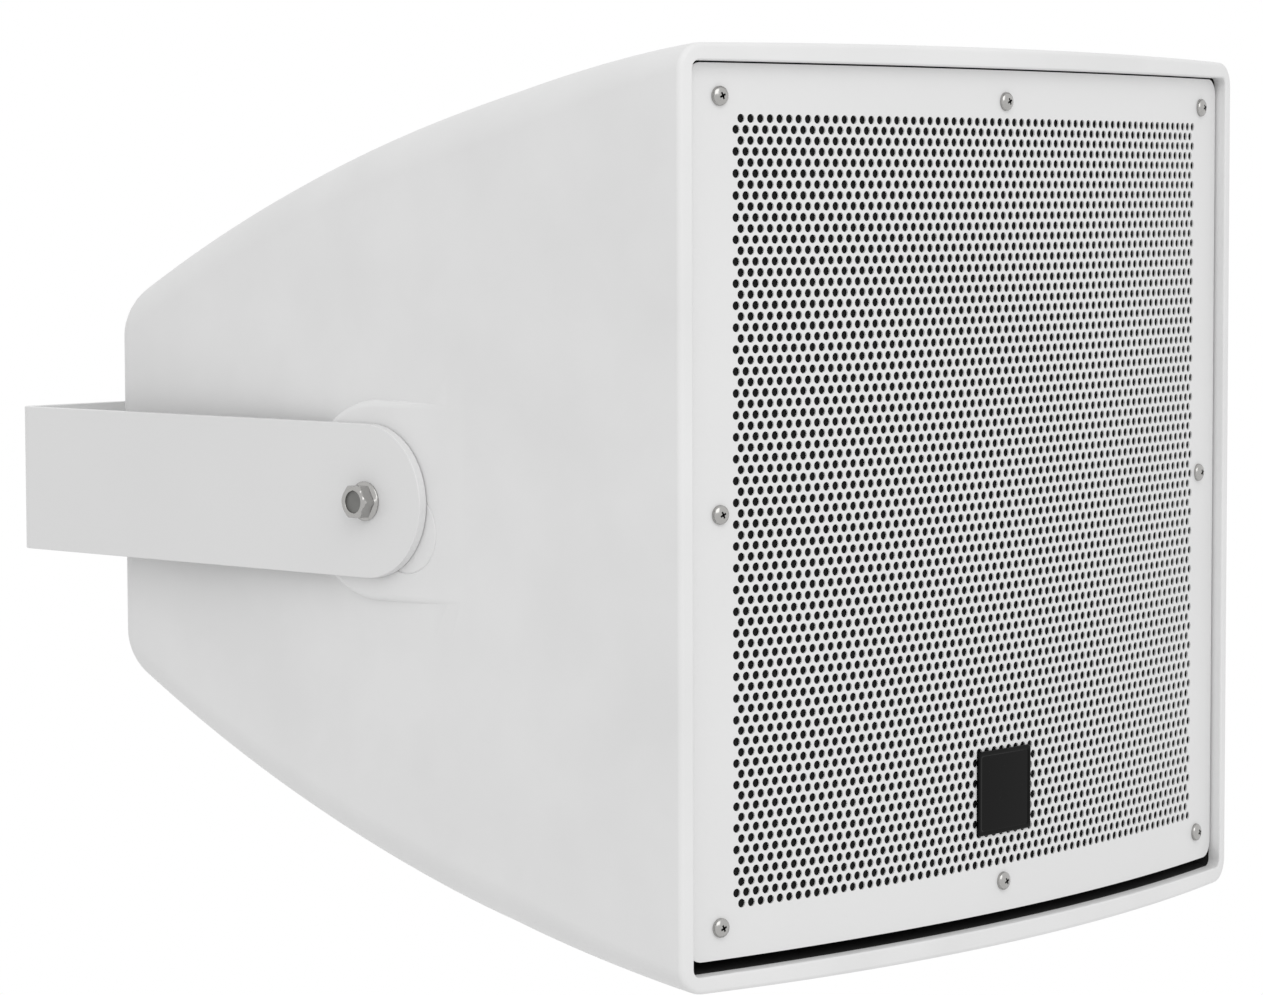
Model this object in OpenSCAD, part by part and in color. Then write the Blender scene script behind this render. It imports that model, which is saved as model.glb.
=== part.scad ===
// Wall subwoofer: a moulded cabinet with a bowed perforated grille and a 15 inch driver,
// held by its sides in a U bracket that bolts to a wall. X is across, Y runs from the
// front to the wall, Z is up. The origin is the middle of the bracket's wall face.

/* [Cabinet] */
// Width of the rim around the grille's opening
rim_w = 13; // [11:0.5:20]
// Depth from the crown of the grille to the flat back
cabinet_d = 457; // [440:1:490]
// Width of the flat back
back_w = 394; // [370:1:410]
// Height of the flat back
back_h = 190; // [178:1:230]
// Radius of the long curve of the top and the underside
crown_r = 1100; // [900:10:1600]
// Radius of the bowed front, about an upright axis
bow_r = 1057; // [900:1:1400]
// Thickness of the moulded wall
wall = 7; // [5:0.5:9]
// Radius of the four long edges
edge_r = 24; // [18:1:34]
// Round of the edges of the flat back
back_round = 16; // [10:1:20]
// How far the rim stands proud of the grille
rim_proud = 8; // [5:0.5:12]

/* [Grille] */
// Width of the grille, measured round its bow
grille_w = 432; // [424:1:434]
// Height of the grille
grille_h = 426; // [418:1:428]
// Thickness of the grille's steel sheet
grille_t = 1.5; // [1:0.1:2.5]
// Corner radius of the grille
grille_corner = 10; // [6:1:16]
// How far the grille sits above the middle of the rim
grille_lift = 2.5; // [0:0.5:3]
// Gap between the grille and the rim at the sides and the top
grille_gap = 1.5; // [1:0.1:3]
// Width across one perforation
perf_d = 17; // [12:0.5:18]
// Distance between perforations in a row
perf_pitch = 26; // [24:0.5:32]
// Plain border beside the perforations
perf_border = 28.5; // [27:0.5:50]
// How far the outer screws stand in from the sides of the grille
screw_inset = 18.5; // [17:0.5:21]
// Thickness of the foam behind the grille
foam_t = 5; // [3:0.5:7]
// Side of the plain badge
badge_s = 43; // [30:1:60]
// Thickness of the badge
badge_t = 1.6; // [1:0.1:3]
// Height of the badge's middle, below the middle of the grille
badge_drop = 151; // [120:1:160]

/* [Driver] */
// Thickness of the driver's mounting flange
flange_t = 5; // [4:0.5:7]
// Width of the surround's half roll
roll_w = 21; // [16:0.5:24]
// Depth of the cone
cone_depth = 72; // [65:1:80]
// Diameter of the voice coil
coil_d = 76; // [70:1:80]
// Diameter of the ring magnet
magnet_d = 184; // [170:1:200]
// Thickness of the ring magnet
magnet_t = 22; // [18:1:30]
// Farthest the cone travels each way
cone_travel = 8; // [4:0.5:9]

/* [Bracket] */
// Width of the bracket's flat bar
bar_w = 78; // [70:1:90]
// Thickness of the bracket's flat bar
bar_t = 5; // [4:0.5:6]
// Radius inside the bracket's two bends
bend_r = 5; // [3:0.5:10]
// Distance from the wall to the tilt axis
axis_reach = 277; // [270:1:320]
// Distance from the tilt axis to the crown of the grille
axis_front = 235; // [225:1:240]
// Distance between the two flat pads on the cabinet's sides
pad_span = 427; // [426:0.5:430]
// Diameter of the pivot bolts
pivot_d = 10; // [8:1:12]
// Radial play of the pivot bolts in the bracket
pivot_play = 0.08; // [0.05:0.01:0.1]
// Distance between the wall holes, across
wall_hole_x = 320; // [200:5:360]
// Distance between the wall holes, up
wall_hole_z = 42; // [30:1:50]
// Diameter of the wall holes
wall_hole_d = 9; // [7:0.5:11]
// Diameter of the middle hole for a single fixing
centre_hole_d = 13; // [9:0.5:17]

/* [Hidden] */

// The front of the grille's crown
front_y = -axis_reach - axis_front;

// The baffle board stands behind the ends of the bowed grille, against a ledge in the shell
baffle_front = 40;
baffle_t = 18;
gasket_t = 2;
ledge_depth = baffle_front + baffle_t + gasket_t;
inside = cabinet_d - wall;
ledge_w = 17;
ledge_t = 12;
ledge_slope = 20;
recess_draft = 4.5;
recess_front = 8;
board_play = 0.7;
open_w = bow_x(grille_w / 2) + grille_gap;
open_h = grille_h / 2 + grille_lift + grille_gap;
open_r = grille_corner + grille_gap;
rim_inner_round = 3.5;
rim_crest = 2;
rim_round = rim_w - rim_inner_round - rim_crest;
rim_r = open_r + rim_w;
cabinet_w = 2 * (open_w + rim_w);
cabinet_h = 2 * (open_h + rim_w);
board_w = open_w - recess_draft - board_play;
board_h = open_h - recess_draft - board_play;
board_r = open_r - board_play;

// How many points make a corner, a long edge and a short edge of a section of the shell
corner_steps = 6;
across_steps = 8;
upright_steps = 2;

// The outside changes from the rim's corners to the long edges over this depth, and the
// hollow inside has its own round at the back and this many stations
edge_run = 145;
back_steps = 8;
cavity_round = 12;
cavity_steps = 5;
cavity_front = ledge_depth + ledge_t + ledge_slope;
cavity_step = (inside - cavity_round - cavity_front) / (cavity_steps + 1);

// The side pads, the inserts moulded into them and the bolts
pad_r = 47;
pad_run = 78;
pad_h = 20;
pad_bevel = 3;
spot_r = 46;
spot_depth = 1;
washer_t = 4;
washer_r = 20;
insert_r = 8;
insert_l = 26;
boss_r = 22;
boss_floor = 6;
thread_clear = 0.3;
spot_x = pad_span / 2 - spot_depth;
arm_x = spot_x + washer_t;
bolt_flange_r = 10;
bolt_flange_t = 2.2;
bolt_hex = 16;
bolt_head_h = 9;
bolt_recess_r = 5.8;
bolt_short = 4;

// The grille's fixings, level with its outer ring of screws
perf_field = grille_w - 2 * perf_border;
screw_span = grille_w - 2 * screw_inset;
standoff_r = 5;
standoff_play = 0.05;
screw_r = 2.5;
screw_head_r = 4.7;
screw_head_h = 3;
screw_dome_r = 6.3;
screw_slot_w = 0.9;
screw_slot_l = 4;
screw_slot_h = 1.6;
screw_grip = 12;
grille_screw_places = [for (i = [-1:1], j = [-1:1]) if (i != 0 || j != 0) [i, j] * screw_span / 2];
screw_hole_r = screw_r + 0.1;
driver_grip = 26;
board_grip = 30;
perf_sides = 6;
foam_corner = 8;
badge_corner = 2;
foam_play = 4;
foam_s = screw_span - 2 * standoff_r - foam_play;

// The perforations: staggered rows, counted so that the whole pattern stays in its field
perf_rise = perf_pitch * sin(60);
perf_rows = floor((perf_field - perf_d) / perf_rise) + 1;
perf_row_n = floor((perf_field - perf_d) / perf_pitch - 0.5) + 1;
perf_places = [for (j = [0:perf_rows - 1], i = [0:perf_row_n - 1])
    [(i - (perf_row_n - 1) / 2 + (j % 2 == 0 ? 0.25 : -0.25)) * perf_pitch,
        (j - (perf_rows - 1) / 2) * perf_rise]];

// The screws that hold the baffle board to the ledge, spaced round its edge
board_screw_run = [-112, 22, 112];
board_screw_places = [for (s = [-1, 1], run = board_screw_run) each [
    [s * (board_w - ledge_w / 2), run],
    [run, s * (board_h - ledge_w / 2)]]];

// The driver, in depths behind the front of the baffle board
flange_play = 1;
flange_r = screw_span / 2 - grille_lift - standoff_r - flange_play;
flange_land = 13;
screw_circle_r = flange_r - flange_land / 2;
seal_t = 1.5;
basket_r = flange_r - flange_land;
basket_wall = 5;
cutout_r = basket_r + 1;
surround_t = 1.2;
surround_land = 6;
cone_t = 1.4;
cone_r = basket_r - basket_wall - roll_w;
coil_r = coil_d / 2;
former_t = 0.8;
flange_front = -seal_t - flange_t;
neck_depth = flange_front + cone_depth;
spider_depth = neck_depth + 2 * cone_travel;
spider_r = 90;
spider_t = 0.8;
spider_rise = 2.2;
spider_wave_l = 12.5;
spider_land = 8;
spider_edge = spider_land + 2;
plate_front = spider_depth + cone_travel + 10;
plate_t = 9;
gap_clear = 1.1;
magnet_r = magnet_d / 2;
magnet_front = plate_front + plate_t;
pole_front = magnet_front + magnet_t;
pole_base_t = 10;
pole_vent_r = 12;
pole_bevel = 3;
plate_inset = 6;
cap_r = 58;
cap_h = 15;
cap_t = 0.8;
glue_t = 0.1;
cap_steps = 8;
cone_land = 6;
cone_steps = 10;
winding_t = 1;
winding_over = 1 + cone_travel / 2;
former_over = 8;

// The cast basket's skirt, the foot under its magnet and the windows between its spokes
skirt = 12;
foot_over = 8;
foot_t = 6;
foot_bore_r = 56;
spider_land_t = 4;
window_front = 20;
window_back = 25;
window_half = 21;
window_reach = 240;

// The four reflex ports in the corners of the baffle board
port_r = 25;
port_wall = 2;
port_l = 78;
port_place = 163;
port_lip = 3;

// The input plate on the back, under the bracket, and its cable gland
input_z = -64;
input_w = 150;
input_h = 46;
input_t = 3;
input_cut_w = 112;
input_cut_h = 34;
input_gasket_t = 1.5;
input_screw_x = 66;
input_screw_z = 15;
input_corner = 5;
input_grip = 9;
gland_x = 38;
gland_thread_r = 9.9;
gland_hex = 25;
cable_r = 4.5;
gland_flange_t = 5;
gland_nut_t = 5;
gland_nose = 14;
gland_tail = 8;
gland_bore_r = 7.5;
gland_face = cabinet_d + input_gasket_t + input_t;
seal_from = 3;
seal_l = 13;
cap_from = 6;
cap_l = 15;
cap_rim = 5;
strip_x = -12;
strip_w = 48;
strip_h = 18;
strip_t = 14;

// The low-pass filter on the inside of the back, above the input plate
filter_z = 18;
filter_w = 150;
filter_h = 68;
filter_t = 3;
filter_d = inside - filter_t;
inductor_r = 26;
inductor_bore = 10;
inductor_h = 28;
inductor_x = -35;
capacitor_r = 12;
capacitor_l = 38;
capacitor_x = 34;
capacitor_z = 14;

// The driver's terminals under its basket, and the two wires from them to the terminal strip
// as points of [share of the way across, half their spread, share of the depth, share of the height]
lug_depth = 48;
lug_w = 32;
lug_y = 148;
lug_t = 3;
lug_x = 8;
lug_h = 14;
lug_arm = 32;
lug_tab = 8;
lug_tab_w = 6;
wire_r = 1.5;
wire_sides = 8;
wire_gap = 1.5;
wire_front = baffle_front + lug_depth + (lug_tab + wire_r * 2 / 3) / 2;
wire_back = cabinet_d + input_gasket_t - strip_t - wire_gap;
wire_low = -(lug_y + lug_t + lug_tab + wire_gap);
wire_route = [[0, lug_x, 0, 0], [0, lug_x, 0.01, -0.07], [0, 7, 0.055, -0.1], [0, 5, 0.16, 0],
    [0.1, 3, 0.3, 0.23], [0.25, 2, 0.48, 0.44], [0.5, 2, 0.65, 0.65], [0.75, 3, 0.82, 0.83],
    [1, 5, 0.93, 0.96], [1, strip_w / 8, 1, 1]];

// Depth that the bow adds at a place across the front, and the reach of an arc across it
function bow(x) = bow_r - sqrt(bow_r * bow_r - x * x);
function bow_x(arc) = bow_r * sin(arc / bow_r * 180 / PI);

// Half the width and half the height of the cabinet at a depth behind the grille's crown
function half_w(d) = cabinet_w / 2 + (back_w - cabinet_w) / 2 * d / cabinet_d;
crown_run = [cabinet_d, (back_h - cabinet_h) / 2];
crown_chord = norm(crown_run);
crown_drop = sqrt(crown_r * crown_r - crown_chord * crown_chord / 4);
crown_c = [cabinet_d / 2, (back_h + cabinet_h) / 4]
    + crown_drop / crown_chord * [crown_run[1], -crown_run[0]];
function half_h(d) = crown_c[1] + sqrt(crown_r * crown_r - pow(d - crown_c[0], 2));

// One section of the shell: a rectangle with round corners, as points [across, up]
function corner_at(w, h, r, q) = [(q == 0 || q == 3 ? 1 : -1) * (w - r), (q < 2 ? 1 : -1) * (h - r)];
function section(w, h, r) = [for (q = [0:3])
    let (c = corner_at(w, h, r, q),
        n = corner_at(w, h, r, (q + 1) % 4),
        steps = q % 2 == 0 ? across_steps : upright_steps,
        turn = 90 * (q + 1),
        lean = r * [cos(turn), sin(turn)])
    each concat(
        [for (k = [0:corner_steps]) let (a = 90 * (q + k / corner_steps)) c + r * [cos(a), sin(a)]],
        [for (k = [1:steps - 1]) c + lean + (n - c) * k / steps])];

// A ring that follows the outer skin, sunk into it, and a ring of a stated half size
function skin_r(d) = rim_r + (edge_r - rim_r) * min(max(d / edge_run, 0), 1);
function skin_ring(d, inset, b) =
    let (w = half_w(d + b * bow(cabinet_w / 2)) - inset, h = half_h(d) - inset)
    [for (p = section(w, h, max(skin_r(d) - inset, 5)))
        let (deep = d + b * bow(p[0]))
        [p[0], front_y + deep, p[1] * (half_h(deep) - inset) / h]];
function plain_ring(w, h, r, d, b) =
    [for (p = section(w, h, r)) [p[0], front_y + d + b * bow(p[0]), p[1]]];

// A closed solid through a list of rings, with a flat fan on the first and the last
module loft(rings) {
    n = len(rings[0]);
    last = (len(rings) - 1) * n;
    hub = len(rings) * n;
    points = [for (ring = rings) each ring];
    hubs = [for (ring = [rings[0], rings[len(rings) - 1]]) (ring[0] + ring[floor(n / 2)]) / 2];
    sides = [for (k = [0:len(rings) - 2], i = [0:n - 1])
        let (a = k * n + i, b = k * n + (i + 1) % n)
        each [[a, b, b + n], [a, b + n, a + n]]];
    fans = [for (i = [0:n - 1]) let (j = (i + 1) % n) each [[j, i, hub], [last + i, last + j, hub + 1]]];
    polyhedron(concat(points, hubs), concat(sides, fans), convexity = 6);
}

// Children stand at a depth behind the grille's crown, with their own z towards the wall
module facing_back(x, d, z) {
    translate([x, front_y + d, z]) rotate([-90, 0, 0])
        children();
}

// Children stand on the driver's axis, in depths behind the front of the baffle board
module on_driver(d) {
    facing_back(0, baffle_front + d, 0)
        children();
}

// Children stand at the screws of the input plate, with z from the back into the cabinet
module at_input_screws() {
    for (x = [-1, 1], z = [-1, 1])
        facing_back(x * input_screw_x, cabinet_d, input_z + z * input_screw_z) rotate([180, 0, 0])
            children();
}

// Children stand on both ends of the tilt axis, with their own z pointing away from the cabinet
module both_sides(x) {
    for (s = [-1, 1]) translate([s * x, -axis_reach, 0]) rotate([0, s * 90, 0]) children();
}

// Children stand on the grille at each of its screws, square to the bowed sheet
module at_grille_screws() {
    for (p = grille_screw_places)
        translate([0, front_y + bow_r, p[1] + grille_lift])
            rotate([0, 0, p[0] / bow_r * 180 / PI]) translate([0, -bow_r, 0]) rotate([-90, 0, 0])
                children();
}

// A rectangle with round corners, and a flat plate of it with its thickness along its own z
module round_rect(w, h, r) {
    square([w - 2 * r, h], center = true);
    square([w, h - 2 * r], center = true);
    for (x = [-1, 1], y = [-1, 1]) translate([x * (w / 2 - r), y * (h / 2 - r)]) circle(r, $fn = 48);
}
module plate(w, h, t, r) {
    linear_extrude(t) round_rect(w, h, r);
}

module collar(r_out, r_in, h) {
    difference() {
        cylinder(h = h, r = r_out, $fn = 96);
        translate([0, 0, -1]) cylinder(h = h + 2, r = r_in, $fn = 96);
    }
}

// A sheet that follows the bow: its thickness lies between two depths behind the front face,
// and its corners are round
module bowed_sheet(from, to, w, h, r, lift) {
    lean = w / bow_r * 90 / PI;
    half = bow_x(w / 2);
    difference() {
        translate([0, front_y + bow_r, lift])
            rotate_extrude(angle = 2 * lean, start = 270 - lean, $fn = 720)
                translate([bow_r - to, -h / 2]) square([to - from, h]);
        for (x = [-1, 1], z = [-1, 1]) facing_back(x * (half - r), from - 1, lift + z * (h / 2 - r))
            linear_extrude(bow(half) + to - from + 2) difference() {
                translate([x < 0 ? -2 * r : 0, z > 0 ? -2 * r : 0]) square(2 * r);
                circle(r, $fn = 48);
            }
    }
}

module at_board_screws() {
    for (p = board_screw_places) facing_back(p[0], baffle_front, p[1]) children();
}

module at_driver_screws() {
    for (a = [22.5:45:360]) on_driver(flange_front) rotate(a) translate([screw_circle_r, 0, 0])
        children();
}

// A pan head screw along z: its head stands below z = 0 and its shank runs up from there
module pan_screw(shank) {
    rotate([180, 0, 0]) {
        difference() {
            rotate_extrude($fn = 32) intersection() {
                square([screw_head_r, screw_head_h]);
                translate([0, screw_head_h - screw_dome_r]) circle(screw_dome_r, $fn = 64);
            }
            for (a = [0, 90]) translate([0, 0, screw_head_h]) rotate(a)
                cube([screw_slot_l, screw_slot_w, 2 * screw_slot_h], center = true);
        }
        translate([0, 0, -shank]) cylinder(h = shank, r = screw_r, $fn = 24);
    }
}

module wall_bracket() color([0.83, 0.83, 0.83]) {
    outer = arm_x + bar_t;
    bend = bend_r + bar_t;
    difference() {
        translate([0, 0, -bar_w / 2]) linear_extrude(bar_w) difference() {
            union() {
                translate([-outer, -axis_reach - bar_w / 2])
                    square([2 * outer, axis_reach + bar_w / 2 - bend]);
                translate([bend - outer, -bend]) square([2 * (outer - bend), bend]);
                for (s = [-1, 1]) translate([s * (outer - bend), -bend]) circle(bend, $fn = 64);
            }
            translate([-arm_x, -axis_reach - bar_w]) square([2 * arm_x, axis_reach + bar_w - bend]);
            translate([bend_r - arm_x, -bend - 1]) square([2 * (arm_x - bend_r), bend_r + 1]);
            for (s = [-1, 1]) translate([s * (arm_x - bend_r), -bend]) circle(bend_r, $fn = 64);
        }
        translate([0, -axis_reach, 0]) rotate([0, 90, 0]) difference() {
            translate([-bar_w, -bar_w, -outer - 1]) cube([2 * bar_w, bar_w, 2 * outer + 2]);
            translate([0, 0, -outer - 2]) cylinder(h = 2 * outer + 4, r = bar_w / 2, $fn = 96);
        }
        both_sides(arm_x - 1) cylinder(h = bar_t + 2, r = pivot_d / 2 + pivot_play, $fn = 64);
        for (x = [-1, 1], z = [-1, 1]) translate([x * wall_hole_x / 2, 1, z * wall_hole_z / 2])
            rotate([90, 0, 0]) cylinder(h = bar_t + 2, d = wall_hole_d, $fn = 48);
        translate([0, 1, 0]) rotate([90, 0, 0]) cylinder(h = bar_t + 2, d = centre_hole_d, $fn = 48);
    }
}

module side_pads() {
    wide = pad_r + pad_bevel;
    side = [[-wide, 0], [wide, 0], [wide, pad_h - pad_bevel], [pad_r, pad_h], [-pad_r, pad_h],
        [-wide, pad_h - pad_bevel]];
    both_sides(pad_span / 2 - pad_h) {
        cylinder(h = pad_h - pad_bevel, r = wide, $fn = 96);
        translate([0, 0, pad_h - pad_bevel]) cylinder(h = pad_bevel, r1 = wide, r2 = pad_r, $fn = 96);
        rotate([90, 0, 0]) linear_extrude(pad_run) polygon(side);
    }
}

// The rings of the hollow, from the back forward to the ledge the baffle board rests on
cavity_rings = concat(
    [for (a = [90:-45:0])
        skin_ring(inside - cavity_round * (1 - sin(a)), wall + cavity_round * (1 - cos(a)), 0)],
    [for (k = [cavity_steps:-1:0]) skin_ring(cavity_front + k * cavity_step, wall, 0)],
    [for (d = [ledge_depth + ledge_t, ledge_depth])
        plain_ring(board_w - ledge_w, board_h - ledge_w, board_r, d, 0)]);

// The rings of the recess in front of the ledge and of the inner round of the rim
recess_rings = concat(
    [for (k = [0:0.5:1]) let (off = recess_draft * (k - 1))
        plain_ring(open_w + off, open_h + off, open_r, ledge_depth - k * (ledge_depth - recess_front), k)],
    [for (a = [0:30:90]) let (off = rim_inner_round * (1 - cos(a)))
        plain_ring(open_w + off, open_h + off, open_r + off, rim_inner_round * (1 - sin(a)) - rim_proud, 1)]);

// The rings of the outside: the outer round of the rim, the walls and the round of the back
outer_rings = concat(
    [for (a = [0:22.5:90]) skin_ring(rim_round * (1 - cos(a)) - rim_proud, rim_round * (1 - sin(a)), 1)],
    [for (k = [1:3]) skin_ring(k * edge_run / 4, 0, 1 - k / 4)],
    [for (k = [0:back_steps])
        skin_ring(edge_run + k * (cabinet_d - back_round - edge_run) / back_steps, 0, 0)],
    [for (a = [22.5:22.5:90])
        skin_ring(cabinet_d - back_round * (1 - sin(a)), back_round * (1 - cos(a)), 0)]);

module cabinet_shell() color([0.86, 0.86, 0.86]) difference() {
    union() {
        loft(concat(cavity_rings, recess_rings, outer_rings));
        side_pads();
        both_sides(spot_x - insert_l - boss_floor)
            cylinder(h = insert_l + boss_floor - 1, r = boss_r, $fn = 64);
    }
    both_sides(spot_x) cylinder(h = pad_h, r = spot_r, $fn = 96);
    both_sides(spot_x - insert_l) cylinder(h = insert_l + 1, r = insert_r, $fn = 48);
    facing_back(0, inside - 1, input_z) plate(input_cut_w, input_cut_h, wall + 2, input_corner);
    at_input_screws() cylinder(h = 2 * (input_grip - input_t), r = screw_hole_r, center = true, $fn = 24);
    at_board_screws() translate([0, 0, baffle_t])
        cylinder(h = board_grip - baffle_t + 1, r = screw_hole_r, $fn = 24);
}

module baffle_board() color([0.12, 0.12, 0.12]) difference() {
    facing_back(0, baffle_front, 0) plate(2 * board_w, 2 * board_h, baffle_t, board_r);
    facing_back(0, baffle_front - 1, 0) cylinder(h = baffle_t + 2, r = cutout_r, $fn = 120);
    for (x = [-1, 1], z = [-1, 1]) facing_back(x * port_place, baffle_front - 1, z * port_place) {
        cylinder(h = baffle_t + 2, r = port_r + port_wall, $fn = 64);
        cylinder(h = 1 + port_lip, r = port_r + port_wall + port_lip, $fn = 64);
    }
    at_board_screws() cylinder(h = 2 * baffle_t, r = screw_hole_r, center = true, $fn = 24);
    at_driver_screws() cylinder(h = 2 * driver_grip, r = screw_hole_r, center = true, $fn = 24);
}

module baffle_gasket() color([0.15, 0.15, 0.15]) difference() {
    facing_back(0, baffle_front + baffle_t, 0) difference() {
        plate(2 * board_w, 2 * board_h, gasket_t, board_r);
        translate([0, 0, -1]) plate(2 * (board_w - ledge_w), 2 * (board_h - ledge_w), gasket_t + 2, board_r);
    }
    at_board_screws() cylinder(h = 2 * board_grip, r = screw_hole_r, center = true, $fn = 24);
}

module baffle_screws() color([0.35, 0.35, 0.35]) at_board_screws() pan_screw(board_grip);

module port_tubes() color([0.1, 0.1, 0.1]) {
    for (x = [-1, 1], z = [-1, 1]) facing_back(x * port_place, baffle_front, z * port_place)
        rotate_extrude($fn = 96) difference() {
            union() {
                translate([port_r, 0]) square([port_wall, port_l]);
                translate([port_r, 0]) square([port_wall + port_lip, port_lip]);
            }
            translate([port_r - 1, -1]) difference() {
                square([1 + port_wall, 1 + port_wall]);
                translate([1 + port_wall, 1 + port_wall]) circle(port_wall, $fn = 32);
            }
        }
}

// The perforations as one flat outline of many closed paths
module perforations() {
    turns = [for (k = [0:perf_sides - 1]) 360 * (k + 0.5) / perf_sides];
    cuts = [for (p = perf_places)
        each [for (a = turns) [bow_x(p[0]), p[1]] + perf_d / 2 * [cos(a), sin(a)]]];
    polygon(cuts, [for (i = [0:len(perf_places) - 1]) [for (k = [0:perf_sides - 1]) i * perf_sides + k]]);
}

module grille() color([0.88, 0.88, 0.88]) difference() {
    bowed_sheet(0, grille_t, grille_w, grille_h, grille_corner, grille_lift);
    facing_back(0, -1, grille_lift) linear_extrude(bow(perf_field / 2) + 4) perforations();
    at_grille_screws() translate([0, 0, -2]) cylinder(h = grille_t + 4, r = screw_hole_r + 0.2, $fn = 32);
}

module grille_foam() color([0.08, 0.08, 0.08]) {
    bowed_sheet(grille_t, grille_t + foam_t, foam_s, foam_s, foam_corner, grille_lift);
}

module grille_standoffs() color([0.6, 0.6, 0.6]) difference() {
    intersection() {
        for (p = grille_screw_places) facing_back(bow_x(p[0]), 0, p[1] + grille_lift)
            cylinder(h = baffle_front, r = standoff_r, $fn = 48);
        translate([0, front_y + bow_r, grille_lift - grille_h / 2])
            cylinder(h = grille_h, r = bow_r - grille_t - standoff_play, $fn = 720);
    }
    at_grille_screws() translate([0, 0, -2]) cylinder(h = screw_grip + 4, r = screw_hole_r, $fn = 32);
}

module grille_screws() color([0.75, 0.75, 0.75]) at_grille_screws() pan_screw(screw_grip);

module badge_plate() color([0.1, 0.1, 0.1]) {
    bowed_sheet(-badge_t, 0, badge_s, badge_s, badge_corner, grille_lift - badge_drop);
}

module driver_gasket() color([0.15, 0.15, 0.15]) difference() {
    on_driver(-seal_t) collar(flange_r, cutout_r, seal_t);
    at_driver_screws() cylinder(h = 2 * driver_grip, r = screw_hole_r, center = true, $fn = 24);
}

// The cast basket: a revolved profile with windows between its spokes
module driver_basket() color([0.2, 0.2, 0.2]) difference() {
    foot_r = magnet_r + foot_over;
    seat = spider_depth + spider_t;
    slope = (basket_r - foot_r) / (plate_front - foot_t - skirt);
    inner = basket_r - basket_wall;
    union() {
        on_driver(0) rotate_extrude($fn = 120) polygon([[inner, flange_front], [flange_r, flange_front],
            [flange_r, -seal_t], [basket_r, -seal_t], [basket_r, skirt], [foot_r, plate_front - foot_t],
            [foot_r, plate_front], [foot_bore_r, plate_front], [foot_bore_r, plate_front - foot_t],
            [foot_r - basket_wall, plate_front - foot_t],
            [inner - slope * (seat + spider_land_t - skirt), seat + spider_land_t],
            [spider_r - spider_land, seat + spider_land_t], [spider_r - spider_land, seat],
            [inner - slope * (seat - skirt), seat], [inner, skirt]]);
        on_driver(lug_depth) translate([-lug_w / 2, lug_y - lug_arm, 0]) cube([lug_w, lug_arm, lug_h + 2]);
    }
    for (a = [0:60:359]) on_driver(window_front) rotate(a)
        linear_extrude(plate_front - window_front - window_back) polygon([[0, 0],
            window_reach * [1, -tan(window_half)], window_reach * [1, tan(window_half)]]);
    at_driver_screws() cylinder(h = 2 * driver_grip, r = screw_hole_r, center = true, $fn = 24);
}

module driver_screws() color([0.3, 0.3, 0.3]) at_driver_screws() pan_screw(driver_grip);

module driver_terminals() color([0.55, 0.4, 0.25]) on_driver(lug_depth) {
    translate([-lug_w / 2, lug_y, 1]) cube([lug_w, lug_t, lug_h]);
    for (s = [-1, 1]) translate([s * lug_x - lug_tab_w / 2, lug_y + lug_t, lug_tab / 2])
        cube([lug_tab_w, lug_tab, 1]);
}

module top_plate() color([0.5, 0.5, 0.5]) {
    on_driver(plate_front) collar(magnet_r - plate_inset, coil_r + former_t + winding_t + gap_clear, plate_t);
}

module ring_magnet() color([0.25, 0.25, 0.27]) {
    on_driver(magnet_front) collar(magnet_r, coil_r + 9, magnet_t);
}

module pole_piece() color([0.5, 0.5, 0.5]) on_driver(0) {
    rim = magnet_r - plate_inset;
    back = pole_front + pole_base_t;
    rotate_extrude($fn = 120) polygon([[pole_vent_r, plate_front], [coil_r - gap_clear, plate_front],
        [coil_r - gap_clear, pole_front], [rim, pole_front], [rim, back - pole_bevel],
        [rim - pole_bevel, back], [pole_vent_r, back]]);
}

// The half roll of the surround, with a flat land on the cone and one on the basket
module surround() color([0.12, 0.12, 0.12]) on_driver(0) rotate_extrude($fn = 144) {
    drum_r = basket_r - basket_wall;
    mid = (cone_r + drum_r) / 2;
    roll = (drum_r - cone_r) / 2;
    lap = surround_t / 3;
    for (land = [[cone_r - surround_land, cone_r + lap], [drum_r - lap, drum_r + surround_land]])
        translate([land[0], flange_front - surround_t]) square([land[1] - land[0], surround_t]);
    intersection() {
        translate([mid, flange_front]) difference() {
            circle(roll + surround_t / 2, $fn = 64);
            circle(roll - surround_t / 2, $fn = 64);
        }
        translate([cone_r - roll, flange_front - 2 * roll]) square([4 * roll, 2 * roll - surround_t / 2]);
    }
}

// The corrugated disc that centres the coil
function spider_wave(r) =
    spider_rise * sin(360 * (r - coil_r - former_t) / spider_wave_l) * (r < spider_r - spider_edge ? 1 : 0);
module spider() color([0.75, 0.6, 0.3]) on_driver(spider_depth) rotate_extrude($fn = 96) {
    from = coil_r + former_t + thread_clear;
    steps = 48;
    rs = [for (k = [0:steps]) from + (spider_r - from) * k / steps];
    polygon(concat([for (r = rs) [r, spider_wave(r)]],
        [for (k = [steps:-1:0]) [rs[k], spider_wave(rs[k]) + spider_t]]));
}

// The cone's front face: a curved flare from the surround to the coil
function flare(k) = [cone_r - cone_land + (coil_r + former_t - cone_r + cone_land) * k,
    flange_front + cone_depth * pow(k, 0.88)];
module cone() color([0.14, 0.14, 0.14]) on_driver(0) rotate_extrude($fn = 144) {
    front = [for (k = [0:cone_steps]) flare(k / cone_steps)];
    back = [for (k = [cone_steps:-1:0]) front[k] + [0, cone_t]];
    polygon(concat([[cone_r, flange_front]], front, back, [[cone_r, flange_front + cone_t]]));
}

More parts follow.
